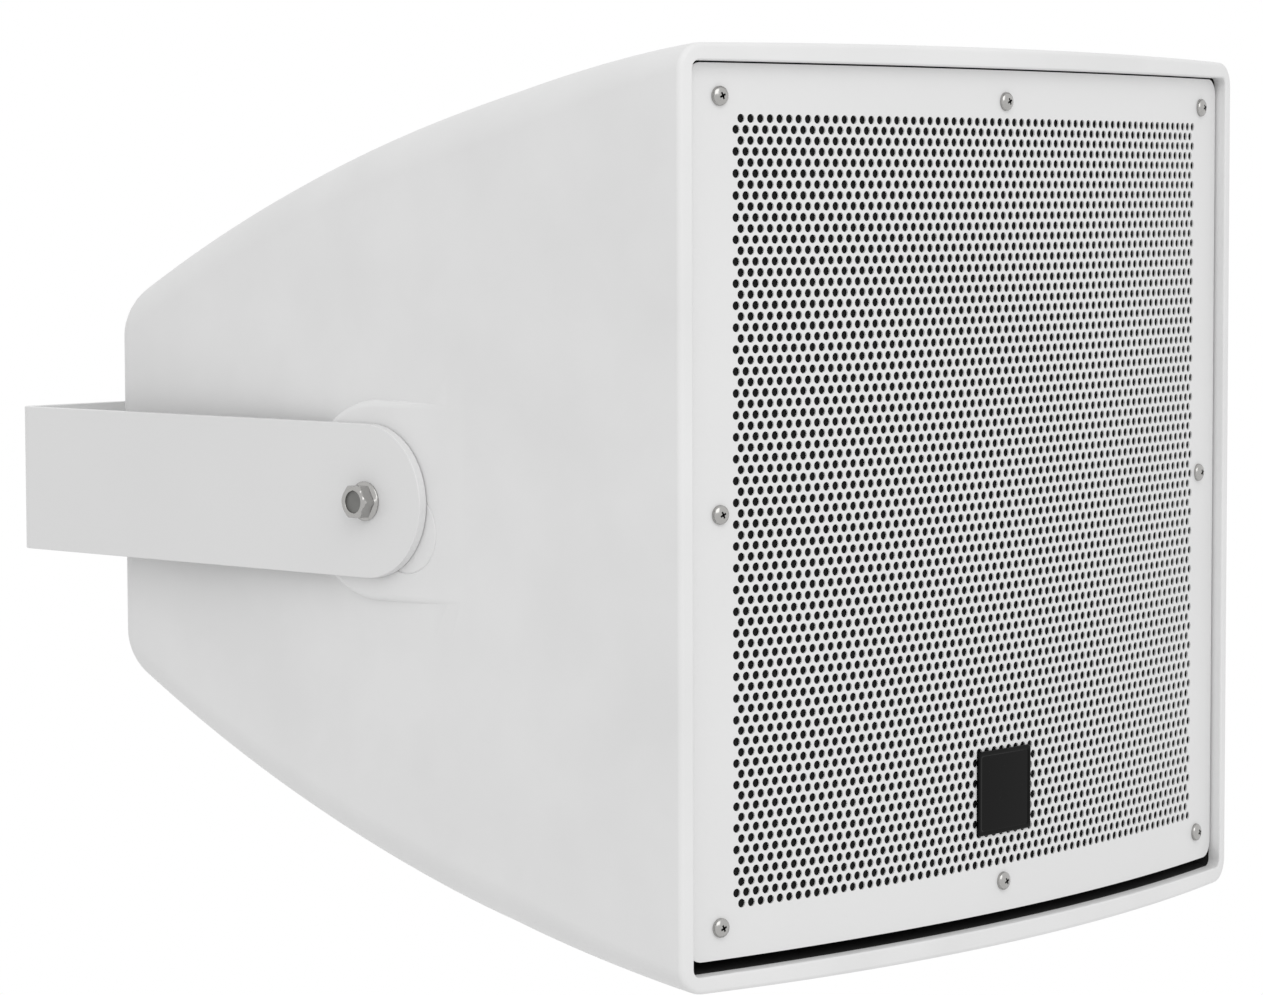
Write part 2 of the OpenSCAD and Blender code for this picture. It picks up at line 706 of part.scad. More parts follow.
// A shallow dome that closes the middle of the cone
module dust_cap() color([0.1, 0.1, 0.1]) {
    edge_k = (cone_r - cone_land - cap_r) / (cone_r - cone_land - coil_r - former_t);
    edge = flare(edge_k)[1];
    ball = (cap_r * cap_r + cap_h * cap_h) / (2 * cap_h);
    lean = asin(cap_r / ball);
    arc = [for (k = [0:cap_steps]) lean * k / cap_steps];
    on_driver(edge - cap_h - cap_t - glue_t) rotate_extrude($fn = 96) polygon(concat(
        [for (a = arc) [ball * sin(a), ball * (1 - cos(a))]],
        [for (k = [cap_steps:-1:0]) [(ball - cap_t) * sin(arc[k]), ball - (ball - cap_t) * cos(arc[k])]]));
}

module voice_coil() color([0.7, 0.4, 0.2]) on_driver(0) {
    from = neck_depth - cone_t;
    translate([0, 0, from]) collar(coil_r + former_t, coil_r, magnet_front + former_over - from);
    translate([0, 0, plate_front - winding_over])
        collar(coil_r + former_t + winding_t, coil_r + former_t, plate_t + 2 * winding_over);
}

module pivot_inserts() color([0.7, 0.6, 0.35]) {
    both_sides(spot_x - insert_l) collar(insert_r, pivot_d / 2 + thread_clear, insert_l);
}

module pivot_washers() color([0.1, 0.1, 0.1]) {
    both_sides(spot_x) collar(washer_r, pivot_d / 2 + thread_clear, washer_t);
}

module pivot_bolts() color([0.75, 0.75, 0.75]) both_sides(arm_x + bar_t) {
    difference() {
        union() {
            cylinder(h = bolt_flange_t, r = bolt_flange_r, $fn = 64);
            intersection() {
                cylinder(h = bolt_head_h, r = bolt_hex / 2 / cos(30), $fn = 6);
                cylinder(h = bolt_head_h, r1 = bolt_hex, r2 = bolt_hex / 2, $fn = 64);
            }
        }
        translate([0, 0, bolt_head_h - 1]) cylinder(h = 2, r = bolt_recess_r, $fn = 48);
    }
    shank = bar_t + washer_t + insert_l - bolt_short;
    translate([0, 0, -shank]) cylinder(h = shank, r = pivot_d / 2, $fn = 64);
}

module input_plate() color([0.8, 0.8, 0.8]) difference() {
    facing_back(0, cabinet_d + input_gasket_t, input_z) difference() {
        plate(input_w, input_h, input_t, input_corner);
        translate([gland_x, 0, -1]) cylinder(h = input_t + 2, r = gland_thread_r + 0.1, $fn = 64);
    }
    at_input_screws() cylinder(h = 30, r = screw_hole_r, center = true, $fn = 24);
}

module input_gasket() color([0.12, 0.12, 0.12]) difference() {
    facing_back(0, cabinet_d, input_z) difference() {
        plate(input_w, input_h, input_gasket_t, input_corner);
        translate([0, 0, -1]) plate(input_cut_w, input_cut_h, input_gasket_t + 2, input_corner);
    }
    at_input_screws() cylinder(h = 30, r = screw_hole_r, center = true, $fn = 24);
}

module input_screws() color([0.75, 0.75, 0.75]) at_input_screws() {
    translate([0, 0, -input_gasket_t - input_t]) pan_screw(input_grip);
}

// Children stand on the gland's axis, in depths behind the outside of the input plate
module at_gland(d) {
    facing_back(gland_x, gland_face + d, input_z)
        children();
}

module hex_bar(h) {
    cylinder(h = h, r = gland_hex / 2 / cos(30), $fn = 6);
}

module cable_gland() color([0.12, 0.12, 0.12]) at_gland(0) difference() {
    union() {
        hex_bar(gland_flange_t);
        translate([0, 0, -input_t - gland_tail])
            cylinder(h = input_t + gland_tail + gland_nose, r = gland_thread_r, $fn = 64);
    }
    translate([0, 0, -input_t - gland_tail - 1])
        cylinder(h = input_t + gland_tail + gland_nose + 2, r = gland_bore_r, $fn = 64);
}

module gland_seal() color([0.2, 0.2, 0.2]) at_gland(seal_from) collar(gland_bore_r, cable_r, seal_l);

module gland_cap_nut() color([0.12, 0.12, 0.12]) at_gland(cap_from) difference() {
    intersection() {
        hex_bar(cap_l);
        cylinder(h = cap_l, r1 = gland_hex, r2 = gland_hex / 2 - 3, $fn = 64);
    }
    translate([0, 0, -1]) cylinder(h = cap_l - cap_rim + 1, r = gland_thread_r, $fn = 64);
    translate([0, 0, -1]) cylinder(h = cap_l + 2, r = cable_r + 1, $fn = 64);
}

module gland_lock_nut() color([0.12, 0.12, 0.12]) at_gland(-input_t - gland_nut_t) difference() {
    hex_bar(gland_nut_t);
    translate([0, 0, -1]) cylinder(h = gland_nut_t + 2, r = gland_thread_r, $fn = 64);
}

module terminal_strip() color([0.85, 0.85, 0.82]) {
    facing_back(strip_x, cabinet_d + input_gasket_t - strip_t, input_z) difference() {
        translate([-strip_w / 2, -strip_h / 2, 0]) cube([strip_w, strip_h, strip_t]);
        for (k = [-1.5:1.5]) translate([k * strip_w / 4, 0, -1]) cylinder(h = strip_t / 2, r = 3, $fn = 32);
    }
}

module filter_board() color([0.25, 0.4, 0.25]) {
    facing_back(0, filter_d, filter_z) plate(filter_w, filter_h, filter_t, 3);
}

module filter_coil() color([0.7, 0.4, 0.2]) {
    facing_back(inductor_x, filter_d - inductor_h, filter_z) collar(inductor_r, inductor_bore, inductor_h);
}

module filter_capacitors() color([0.3, 0.35, 0.5]) for (s = [-1, 1]) {
    facing_back(capacitor_x, filter_d - capacitor_l, filter_z + s * capacitor_z)
        cylinder(h = capacitor_l, r = capacitor_r, $fn = 48);
}

// One of the two wires from the terminal strip to the driver, swept along its own points
module wire(side) {
    path = [for (p = wire_route) [p[0] * strip_x + side * p[1],
        front_y + wire_front + p[2] * (wire_back - wire_front), wire_low + p[3] * (input_z - wire_low)]];
    last = len(path) - 1;
    dirs = [for (k = [0:last]) path[min(k + 1, last)] - path[max(k - 1, 0)]];
    rings = [for (k = [0:last])
        let (t = dirs[k] / norm(dirs[k]), u = cross(t, [1, 0, 0]), v = u / norm(u), w = cross(t, v))
        [for (a = [0:360 / wire_sides:359]) path[k] + wire_r * (cos(a) * v + sin(a) * w)]];
    loft(rings);
}

module speaker_wires() color([0.6, 0.1, 0.1]) for (side = [-1, 1]) wire(side);

wall_bracket();
cabinet_shell();
baffle_board();
baffle_gasket();
baffle_screws();
port_tubes();
grille();
grille_foam();
grille_standoffs();
grille_screws();
badge_plate();
driver_gasket();
driver_basket();
driver_screws();
driver_terminals();
top_plate();
ring_magnet();
pole_piece();
surround();
spider();
cone();
dust_cap();
voice_coil();
pivot_inserts();
pivot_washers();
pivot_bolts();
input_plate();
input_gasket();
input_screws();
cable_gland();
gland_seal();
gland_cap_nut();
gland_lock_nut();
terminal_strip();
filter_board();
filter_coil();
filter_capacitors();
speaker_wires();
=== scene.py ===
# %% [markdown]
# # A wall subwoofer in its bracket
# The imported CAD model is the frame of this scene: every solid, body and joint comes from it.
# Blender gives it what a photograph shows: the smooth moulded skin of the cabinet, the real
# perforated sheet, soft edges on the steel and a finish on every surface.

# %% Load the frame
import math

import bmesh
import bpy
from mathutils import Matrix, Vector


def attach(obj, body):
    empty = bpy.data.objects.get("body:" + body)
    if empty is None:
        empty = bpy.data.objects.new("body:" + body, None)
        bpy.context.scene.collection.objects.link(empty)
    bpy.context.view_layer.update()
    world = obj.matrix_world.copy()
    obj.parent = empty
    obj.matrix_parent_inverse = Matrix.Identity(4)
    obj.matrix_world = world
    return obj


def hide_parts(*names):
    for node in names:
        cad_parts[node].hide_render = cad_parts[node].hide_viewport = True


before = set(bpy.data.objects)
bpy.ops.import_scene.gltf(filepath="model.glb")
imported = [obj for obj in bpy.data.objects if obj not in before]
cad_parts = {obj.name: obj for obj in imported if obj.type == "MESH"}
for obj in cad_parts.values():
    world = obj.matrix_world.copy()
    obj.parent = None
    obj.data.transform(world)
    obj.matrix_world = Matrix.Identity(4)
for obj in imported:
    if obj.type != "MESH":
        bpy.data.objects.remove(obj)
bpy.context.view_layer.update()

MM = 0.001
QUARTER = math.radians(90)

# %% [markdown]
# ## Camera
# The grille's holes stand on an even grid, so their places in the photograph give the camera:
# where it stood, where it looked and its focal length. Its three directions are written as
# turns about the upright axis, then a tilt, then a small roll.

# %% Place the camera
PHOTO_WIDTH, FOCAL_PIXELS, SENSOR = 1263, 4056.1, 36.0
EYE, FARTHEST = (-1.6310, -1.7614, 0.1517), 60

camera = bpy.data.objects.new("camera", bpy.data.cameras.new("camera"))
bpy.context.scene.collection.objects.link(camera)
camera.data.sensor_width = SENSOR
camera.data.lens = FOCAL_PIXELS / PHOTO_WIDTH * SENSOR
turn = Matrix.Rotation(math.radians(-47.283), 4, "Z")
tilt = Matrix.Rotation(math.radians(-4.208), 4, "X")
roll = Matrix.Rotation(math.radians(0.173), 4, "Y")
upright = Matrix.Rotation(QUARTER, 4, "X")  # a Blender camera looks down its own -Z
camera.matrix_world = Matrix.Translation(EYE) @ turn @ tilt @ roll @ upright
camera.data.clip_end = FARTHEST
bpy.context.scene.camera = camera
bpy.context.scene.view_settings.view_transform = "Standard"
print("lens:", round(camera.data.lens, 1), "mm")

# %% [markdown]
# ## Helpers for materials
# Colours are written as sRGB hex values, as a paint chart gives them, and one function turns
# them to the linear light that the shader works in. Another adds a node with its settings and
# its links, and every finish below starts and ends with the last two.


# %% Define the material helpers
def linear(hex_colour):
    parts = [int(hex_colour[i:i + 2], 16) / 255 for i in (1, 3, 5)]
    return [p / 12.92 if p <= 0.04045 else ((p + 0.055) / 1.055) ** 2.4 for p in parts] + [1.0]


def add(material, kind, settings=None, links=None):
    node = material.node_tree.nodes.new(kind)
    for name, value in (settings or {}).items():
        if name in node.inputs.keys():
            node.inputs[name].default_value = value
        else:
            setattr(node, name, value)
    for name, source in (links or {}).items():
        material.node_tree.links.new(source, node.inputs[name])
    return node


def new_material(name):
    material = bpy.data.materials.new(name)
    material.use_nodes = True
    material.node_tree.nodes.clear()
    return material, add(material, "ShaderNodeTexCoord").outputs["Object"]


def output(material, shader):
    add(material, "ShaderNodeOutputMaterial", links={"Surface": shader.outputs["BSDF"]})
    return material


# %% [markdown]
# ## The moulded shell's finish
# The cabinet is moulded in one piece from polyethylene, off-white and satin. Such a surface is
# never perfectly even: over some 60 mm it gets a touch lighter and darker as the wall cools, it
# swells a little every 30 mm, and a fine grain of about 1.5 mm from the mould breaks up its
# reflections.


# %% Make the moulded polyethylene
def moulded_polyethylene():
    cloud_size, swell_size, grain_size = 0.06, 0.03, 0.0015
    m, place = new_material("moulded_polyethylene")
    clouds = add(m, "ShaderNodeTexNoise", {"Scale": 1 / cloud_size, "Detail": 3.0},
                 {"Vector": place})
    tone = add(m, "ShaderNodeValToRGB", links={"Fac": clouds.outputs["Fac"]})
    for stop, at, colour in zip(tone.color_ramp.elements, (0.3, 0.7), ("#DFDFDF", "#E4E4E4")):
        stop.position, stop.color = at, linear(colour)
    grain = add(m, "ShaderNodeTexNoise", {"Scale": 1 / grain_size, "Detail": 2.0},
                {"Vector": place})
    waves = add(m, "ShaderNodeTexNoise", {"Scale": 1 / swell_size, "Detail": 1.0},
                {"Vector": place})
    swell = add(m, "ShaderNodeBump", {"Strength": 0.25, "Distance": 0.0006},
                {"Height": waves.outputs["Fac"]})
    relief = add(m, "ShaderNodeBump", {"Strength": 0.3, "Distance": 0.00006},
                 {"Height": grain.outputs["Fac"], "Normal": swell.outputs["Normal"]})
    gloss = add(m, "ShaderNodeMapRange", {"To Min": 0.42, "To Max": 0.52},
                {"Value": clouds.outputs["Fac"]})
    return output(m, add(m, "ShaderNodeBsdfPrincipled", {"IOR": 1.5, "Specular IOR Level": 0.4},
                         {"Base Color": tone.outputs["Color"],
                          "Roughness": gloss.outputs["Result"],
                          "Normal": relief.outputs["Normal"]}))


# %% [markdown]
# ## Powder coat
# The bracket, the grille and the input plate are steel under a baked polyester powder. The
# powder melts into a skin with a soft orange peel, dimples about 1.2 mm apart, and it
# shines a little more than the plastic. The grille's coat is slightly lighter than the
# bracket's in the photograph, so the same steps take the colour as their setting.


# %% Make the powder coats
def powder_coat(name, light, dark, roughness):
    batch_size, dimple_size = 0.09, 0.0012
    m, place = new_material(name)
    batch = add(m, "ShaderNodeTexNoise", {"Scale": 1 / batch_size, "Detail": 2.0},
                {"Vector": place})
    tone = add(m, "ShaderNodeMixRGB", {"Color1": linear(dark), "Color2": linear(light)},
               {"Fac": batch.outputs["Fac"]})
    peel = add(m, "ShaderNodeTexVoronoi", {"Scale": 1 / dimple_size, "feature": "SMOOTH_F1"},
               {"Vector": place})
    dimples = add(m, "ShaderNodeBump", {"Strength": 0.25, "Distance": 0.00008},
                  {"Height": peel.outputs["Distance"]})
    return output(m, add(m, "ShaderNodeBsdfPrincipled", {"IOR": 1.5, "Roughness": roughness},
                         {"Base Color": tone.outputs["Color"],
                          "Normal": dimples.outputs["Normal"]}))


shell_plastic = moulded_polyethylene()
bracket_coat = powder_coat("powder_coat_bracket", "#E0E0E0", "#DCDCDC", 0.38)
grille_coat = powder_coat("powder_coat_grille", "#E2E2E2", "#DEDEDE", 0.36)

# %% [markdown]
# ## Stainless and plated steel
# The screws and the flange bolts are bare metal. Turned and rolled heads carry fine rings,
# too small to see one by one, that blur the reflection, and handling leaves it uneven: the
# roughness changes over a few millimetres. Black oxide is the same metal under a dark matt
# skin. The cross recess of a screw gets a near-black metal as painted shade.


# %% Make the metals
def bare_metal(name, colour, low, high, smear_size):
    ring_size = smear_size / 8
    m, place = new_material(name)
    smears = add(m, "ShaderNodeTexNoise", {"Scale": 1 / smear_size, "Detail": 4.0},
                 {"Vector": place})
    gloss = add(m, "ShaderNodeMapRange", {"To Min": low, "To Max": high},
                {"Value": smears.outputs["Fac"]})
    rings = add(m, "ShaderNodeTexNoise", {"Scale": 1 / ring_size, "Detail": 1.0},
                {"Vector": place})
    relief = add(m, "ShaderNodeBump", {"Strength": 0.1, "Distance": 0.00001},
                 {"Height": rings.outputs["Fac"]})
    return output(m, add(m, "ShaderNodeBsdfPrincipled",
                         {"Base Color": linear(colour), "Metallic": 1.0},
                         {"Roughness": gloss.outputs["Result"],
                          "Normal": relief.outputs["Normal"]}))


stainless = bare_metal("stainless_steel_turned", "#ADACAA", 0.16, 0.26, 0.004)
zinc_steel = bare_metal("zinc_plated_steel", "#9A9C9D", 0.25, 0.5, 0.004)
black_oxide = bare_metal("black_oxide_steel", "#2B2B2C", 0.4, 0.6, 0.003)
turned_brass = bare_metal("turned_brass", "#C8A55A", 0.25, 0.4, 0.003)
cast_aluminium = bare_metal("cast_aluminium_painted", "#3A3A3B", 0.5, 0.7, 0.006)
copper_winding = bare_metal("enamelled_copper", "#B8693A", 0.25, 0.4, 0.001)
# painted shade: a near-black metal laid into the screws' cross recesses
painted_recess_shade = bare_metal("screw_recess_painted_shade", "#1E1E1E", 0.5, 0.7, 0.002)
rolled_grey = bare_metal("rolled_blank_steel", "#8A8A88", 0.55, 0.7, 0.003)

# %% [markdown]
# ## Dark and soft materials
# Behind the grille everything is black, so that nothing shows through its holes: open-cell foam,
# black-stained plywood, paper pulp, coated cloth, and matt paint inside the shell itself. That
# black paint runs forward to just behind the sheet, so it is also painted shade in the gap round
# the grille. Each gets its own pattern at its own size, because it shows as soon as the grille
# comes off.


# %% Make the foam, rubber, plastics, paper, paint and ferrite
def inside_finish(name, light, dark, roughness, cell_size, depth, kind="ShaderNodeTexNoise"):
    m, place = new_material(name)
    cells = add(m, kind, {"Scale": 1 / cell_size}, {"Vector": place})
    height = cells.outputs["Distance" if kind == "ShaderNodeTexVoronoi" else "Fac"]
    tone = add(m, "ShaderNodeMixRGB", {"Color1": linear(dark), "Color2": linear(light)},
               {"Fac": height})
    relief = add(m, "ShaderNodeBump", {"Strength": 0.6, "Distance": depth}, {"Height": height})
    return output(m, add(m, "ShaderNodeBsdfPrincipled", {"Roughness": roughness, "IOR": 1.5},
                         {"Base Color": tone.outputs["Color"],
                          "Normal": relief.outputs["Normal"]}))


foam = inside_finish("open_cell_foam", "#0C0C0C", "#030303", 0.95, 0.0012, 0.0006,
                     "ShaderNodeTexVoronoi")
rubber = inside_finish("nitrile_rubber", "#1C1C1C", "#161616", 0.8, 0.001, 0.00005)
black_abs = inside_finish("moulded_abs_black", "#191919", "#141414", 0.5, 0.0008, 0.00004)
cream_nylon = inside_finish("moulded_nylon_cream", "#DAD5C4", "#D2CDBB", 0.5, 0.001, 0.00004)
paper_pulp = inside_finish("coated_paper_pulp", "#242424", "#171717", 0.85, 0.0025, 0.0002)
laminate = inside_finish("phenolic_laminate", "#7A5632", "#6B4A2A", 0.6, 0.002, 0.00005)
circuit_laminate = inside_finish("glass_epoxy_laminate", "#2C5B36", "#244C2D", 0.45, 0.001,
                                 0.00003)
sleeve_plastic = inside_finish("shrink_sleeve", "#2A3355", "#232B49", 0.3, 0.004, 0.00004)
wire_pvc = inside_finish("pvc_wire_sleeve", "#8E2323", "#7C1E1E", 0.45, 0.002, 0.00003)
ferrite = inside_finish("ground_ferrite", "#3B3B3D", "#2F2F31", 0.55, 0.0006, 0.00005)
# black paint inside the shell; where it reaches just behind the sheet it is painted shade in the
# gap round the grille
inside_paint_and_gap_shade = inside_finish("matt_black_paint_and_gap_shade", "#151515", "#0F0F0F", 0.85, 0.002, 0.00005)

# %% [markdown]
# Plywood and cloth have a direction. The board's grain runs across it, stretched twelve times
# along X, and the cloth of the surround and the spider has two sets of threads, 0.8 mm
# apart, drawn with a wave for each.


# %% Make the stained plywood and the woven cloth
def stained_plywood():
    m, place = new_material("black_stained_plywood")
    along = add(m, "ShaderNodeMapping", {"Scale": (1.0, 12.0, 12.0)}, {"Vector": place})
    grain = add(m, "ShaderNodeTexNoise", {"Scale": 1 / 0.02, "Detail": 6.0, "Distortion": 0.4},
                {"Vector": along.outputs["Vector"]})
    tone = add(m, "ShaderNodeMixRGB", {"Color1": linear("#0F0E0D"), "Color2": linear("#2A2724")},
               {"Fac": grain.outputs["Fac"]})
    relief = add(m, "ShaderNodeBump", {"Strength": 0.5, "Distance": 0.0002},
                 {"Height": grain.outputs["Fac"]})
    return output(m, add(m, "ShaderNodeBsdfPrincipled", {"Roughness": 0.7},
                         {"Base Color": tone.outputs["Color"],
                          "Normal": relief.outputs["Normal"]}))


def woven_cloth(name, light, dark):
    thread_size = 0.0008
    m, place = new_material(name)
    threads = [add(m, "ShaderNodeTexWave",
                   {"Scale": 1 / (thread_size * 2 * math.pi), "bands_direction": way},
                   {"Vector": place}).outputs["Fac"] for way in ("X", "Z")]
    weave = add(m, "ShaderNodeMath", {"operation": "MULTIPLY"})
    for socket, thread in zip(weave.inputs, threads):
        m.node_tree.links.new(thread, socket)
    tone = add(m, "ShaderNodeMixRGB", {"Color1": linear(dark), "Color2": linear(light)},
               {"Fac": weave.outputs["Value"]})
    relief = add(m, "ShaderNodeBump", {"Strength": 0.6, "Distance": 0.0002},
                 {"Height": weave.outputs["Value"]})
    return output(m, add(m, "ShaderNodeBsdfPrincipled", {"Roughness": 0.85, "Sheen Weight": 0.2},
                         {"Base Color": tone.outputs["Color"],
                          "Normal": relief.outputs["Normal"]}))


plywood = stained_plywood()
surround_cloth = woven_cloth("coated_surround_cloth", "#232323", "#141414")
spider_cloth = woven_cloth("resin_treated_cloth", "#C9A45C", "#A98444")

# %% [markdown]
# ## Stage and light
# A pale floor stands well below the cabinet, which hangs on its bracket. The world is even and
# white, as in a light tent, and one large softbox stands in front and to the left, so that
# the front is a little brighter than the side. The camera, mirrors and glass see plain white
# where the world and the floor are, so that only the cabinet shows.

# %% Set the sizes of the stage
FLOOR_HALF, FLOOR_HEIGHT = 20, -0.9
TENT_LIGHT = 0.84
BOX_SIZE, BOX_POWER, BOX_AWAY = 2.2, 23, 3.0
BOX_LEFT, BOX_UP = math.radians(30), math.radians(35)
AIM = Vector((0, -0.28, 0))


# %% Build the stage
def white_for_sight(tree, dim, bright):
    rays = tree.nodes.new("ShaderNodeLightPath")
    seen = rays.outputs["Is Camera Ray"]
    for kind in ("Is Glossy Ray", "Is Transmission Ray"):
        either = tree.nodes.new("ShaderNodeMath")
        either.operation = "MAXIMUM"
        tree.links.new(seen, either.inputs[0])
        tree.links.new(rays.outputs[kind], either.inputs[1])
        seen = either.outputs[0]
    mixed = tree.nodes.new("ShaderNodeMixShader")
    for socket, source in zip(mixed.inputs, (seen, dim, bright)):
        tree.links.new(source, socket)
    return mixed.outputs[0]


world = bpy.data.worlds.new("light_tent")
bpy.context.scene.world = world
world.use_nodes = True
tree = world.node_tree
tree.nodes.clear()
even = tree.nodes.new("ShaderNodeBackground")
even.inputs["Strength"].default_value = TENT_LIGHT
plain = tree.nodes.new("ShaderNodeBackground")
for node in (even, plain):
    node.inputs["Color"].default_value = (1, 1, 1, 1)
world_out = tree.nodes.new("ShaderNodeOutputWorld")
tree.links.new(white_for_sight(tree, even.outputs[0], plain.outputs[0]),
               world_out.inputs["Surface"])

floor_mesh = bpy.data.meshes.new("floor")
bm = bmesh.new()
bmesh.ops.create_grid(bm, x_segments=1, y_segments=1, size=FLOOR_HALF)
bmesh.ops.translate(bm, verts=bm.verts, vec=(0, 0, FLOOR_HEIGHT))
bm.to_mesh(floor_mesh)
bm.free()
floor = bpy.data.objects.new("floor", floor_mesh)
bpy.context.scene.collection.objects.link(floor)
paper = bpy.data.materials.new("white_paper_floor")
paper.use_nodes = True
paper.node_tree.nodes.clear()
matt = add(paper, "ShaderNodeBsdfDiffuse", {"Color": linear("#F2F2F2")})
glow = add(paper, "ShaderNodeEmission", {"Color": (1, 1, 1, 1), "Strength": 1.0})
shown = white_for_sight(paper.node_tree, matt.outputs[0], glow.outputs[0])
add(paper, "ShaderNodeOutputMaterial", links={"Surface": shown})
floor_mesh.materials.append(paper)

softbox = bpy.data.objects.new("softbox", bpy.data.lights.new("softbox", "AREA"))
softbox.data.shape = "SQUARE"
softbox.data.size = BOX_SIZE
softbox.data.energy = BOX_POWER
softbox.location = AIM + BOX_AWAY * Vector((-math.sin(BOX_LEFT) * math.cos(BOX_UP),
                                            -math.cos(BOX_LEFT) * math.cos(BOX_UP),
                                            math.sin(BOX_UP)))
softbox.rotation_euler = (AIM - softbox.location).to_track_quat("-Z", "Y").to_euler()
bpy.context.scene.collection.objects.link(softbox)
print("softbox at", [round(c, 2) for c in softbox.location])


# %% [markdown]
# ## Helpers for meshes
# Turned, pressed and moulded shapes are all stacks of rings: one ring of vertices is extruded
# again and again, and each new ring is set to its places. Cuts are Booleans, whose result is
# taken over as the mesh. Every new piece ends the same way: its edges are marked sharp where
# two faces meet at a real corner, and it rides on its CAD body.


# %% Define the mesh helpers
def sharpen(bm, degrees):
    limit = math.radians(degrees)
    for face in bm.faces:
        face.smooth = True
    for edge in bm.edges:
        edge.smooth = len(edge.link_faces) == 2 and edge.calc_face_angle(0) < limit


def is_closed(bm):
    return all(len(edge.link_faces) == 2 for edge in bm.edges)


def new_verts(made):
    return [item for item in made if isinstance(item, bmesh.types.BMVert)]


def through_rings(rings):
    bm = bmesh.new()
    loop = [bmesh.ops.create_vert(bm, co=p)["vert"][0] for p in rings[0]]
    edges = [bm.edges.new((a, b)) for a, b in zip(loop, loop[1:] + loop[:1])]
    bmesh.ops.edgeloop_fill(bm, edges=edges)
    for places in rings[1:]:
        out = bmesh.ops.extrude_edge_only(bm, edges=edges)["geom"]
        fresh = set(new_verts(out))
        loop = [next(e.other_vert(v) for e in v.link_edges if e.other_vert(v) in fresh)
                for v in loop]
        for vertex, place in zip(loop, places):
            vertex.co = place
        edges = [e for e in out if isinstance(e, bmesh.types.BMEdge) and set(e.verts) <= fresh]
    bmesh.ops.edgeloop_fill(bm, edges=edges)
    bmesh.ops.recalc_face_normals(bm, faces=bm.faces)
    return bm


def as_object(name, bm, material):
    mesh = bpy.data.meshes.new(name)
    bm.to_mesh(mesh)
    bm.free()
    mesh.materials.append(material)
    made = bpy.data.objects.new(name, mesh)
    bpy.context.scene.collection.objects.link(made)
    return made


def with_cuts(target, tools):
    for tool, way in tools:
        cut = target.modifiers.new(tool.name, "BOOLEAN")
        cut.operation, cut.object = way, tool
        cut.solver, cut.material_mode = "EXACT", "TRANSFER"
    bpy.context.view_layer.update()
    evaluated = target.evaluated_get(bpy.context.evaluated_depsgraph_get())
    mesh = bpy.data.meshes.new_from_object(evaluated)
    target.modifiers.clear()
    for tool, way in tools:
        bpy.data.objects.remove(tool)
    return mesh


def finish_piece(name, bm, material, body, slot, *replaced):
    piece = as_object(name, bm, material)
    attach(piece, body)
    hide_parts(*replaced)
    triangles = sum(len(p.vertices) - 2 for p in piece.data.polygons)
    print(name, "has", triangles, "triangles")
    return piece


# %% [markdown]
# ## The cabinet's skin
# The CAD shell is a loft of flat facets. The same loft with three times the rings and finer
# corners gives the smooth skin of the moulding. Its stations run from the hollow's back,
# forward past the ledge, round the rim's flat lip and back over the outside. The lip is 9 mm
# wide at the sides and 10 mm above and below, and only its edges are round, 1.2 mm inside and
# 2.6 mm outside. The long edges grow from the rim's corner radius of 13 mm, and the top and
# underside follow one long arc. Behind the rim the whole body lies 2 mm lower, so that the
# underside looks a little fuller than the top.

# %% Set the cabinet's sizes
FRONT = -512 * MM
DEPTH, WALL, BOW_R, CROWN_R = 457 * MM, 7 * MM, 1057 * MM, 1200 * MM
ARC, SIDE_GAP = 217.5 * MM, 1.3 * MM
OPEN_W = BOW_R * math.sin(ARC / BOW_R) + SIDE_GAP
OPEN_H, OPEN_R = 216.3 * MM, 4 * MM
HALF_W, HALF_H, RIM_R, PROUD = 226 * MM, 226 * MM, 13 * MM, 6.5 * MM
LIP_IN, LIP_OUT = 1.2 * MM, 2.6 * MM
BACK_W, BACK_H, BACK_ROUND = 199 * MM, 101 * MM, 16 * MM
EDGE_R, EDGE_RUN, LEAST_R = 24 * MM, 145 * MM, 5 * MM
SAG, SAG_RUN = 2 * MM, 200 * MM
LEDGE, LEDGE_W, LEDGE_T = 60 * MM, 17 * MM, 12 * MM
DRAFT, PLAY, PAINTED = 3.8 * MM, 0.7 * MM, 1.2 * MM
CAVITY_ROUND, CAVITY_START = 12 * MM, 92 * MM


def bow(x):
    return BOW_R - math.sqrt(BOW_R ** 2 - x ** 2)


def half_w(d):
    return HALF_W + (BACK_W - HALF_W) * d / DEPTH


chord = Vector((DEPTH, BACK_H - HALF_H))
crown = Vector((DEPTH / 2, (BACK_H + HALF_H) / 2)) + math.sqrt(
    CROWN_R ** 2 - chord.length_squared / 4) * Vector((chord.y, -chord.x)).normalized()


def half_h(d):
    return crown.y + math.sqrt(CROWN_R ** 2 - (d - crown.x) ** 2)


# %% [markdown]
# A ring is a rectangle with round corners. The extrusion keeps the order of its vertices, so
# the same function gives the places of every ring, and only its half sizes, corner radius and
# depth change.

# %% Define a ring of the skin
CORNER, ACROSS, UP = 10, 28, 10


def ring(w, h, r):
    places = []
    signs = ((1, 1), (-1, 1), (-1, -1), (1, -1))
    for q in range(4):
        here, there = (Vector((sx * (w - r), sz * (h - r)))
                       for sx, sz in (signs[q], signs[(q + 1) % 4]))
        for k in range(CORNER + 1):
            a = QUARTER * (q + k / CORNER)
            places.append(here + r * Vector((math.cos(a), math.sin(a))))
        steps = ACROSS if q % 2 == 0 else UP
        places += [places[-1] + (there - here) * k / steps for k in range(1, steps)]
    return places


def lowered(d):
    return SAG * (1 - math.cos(math.pi * min(max(d / SAG_RUN, 0), 1))) / 2


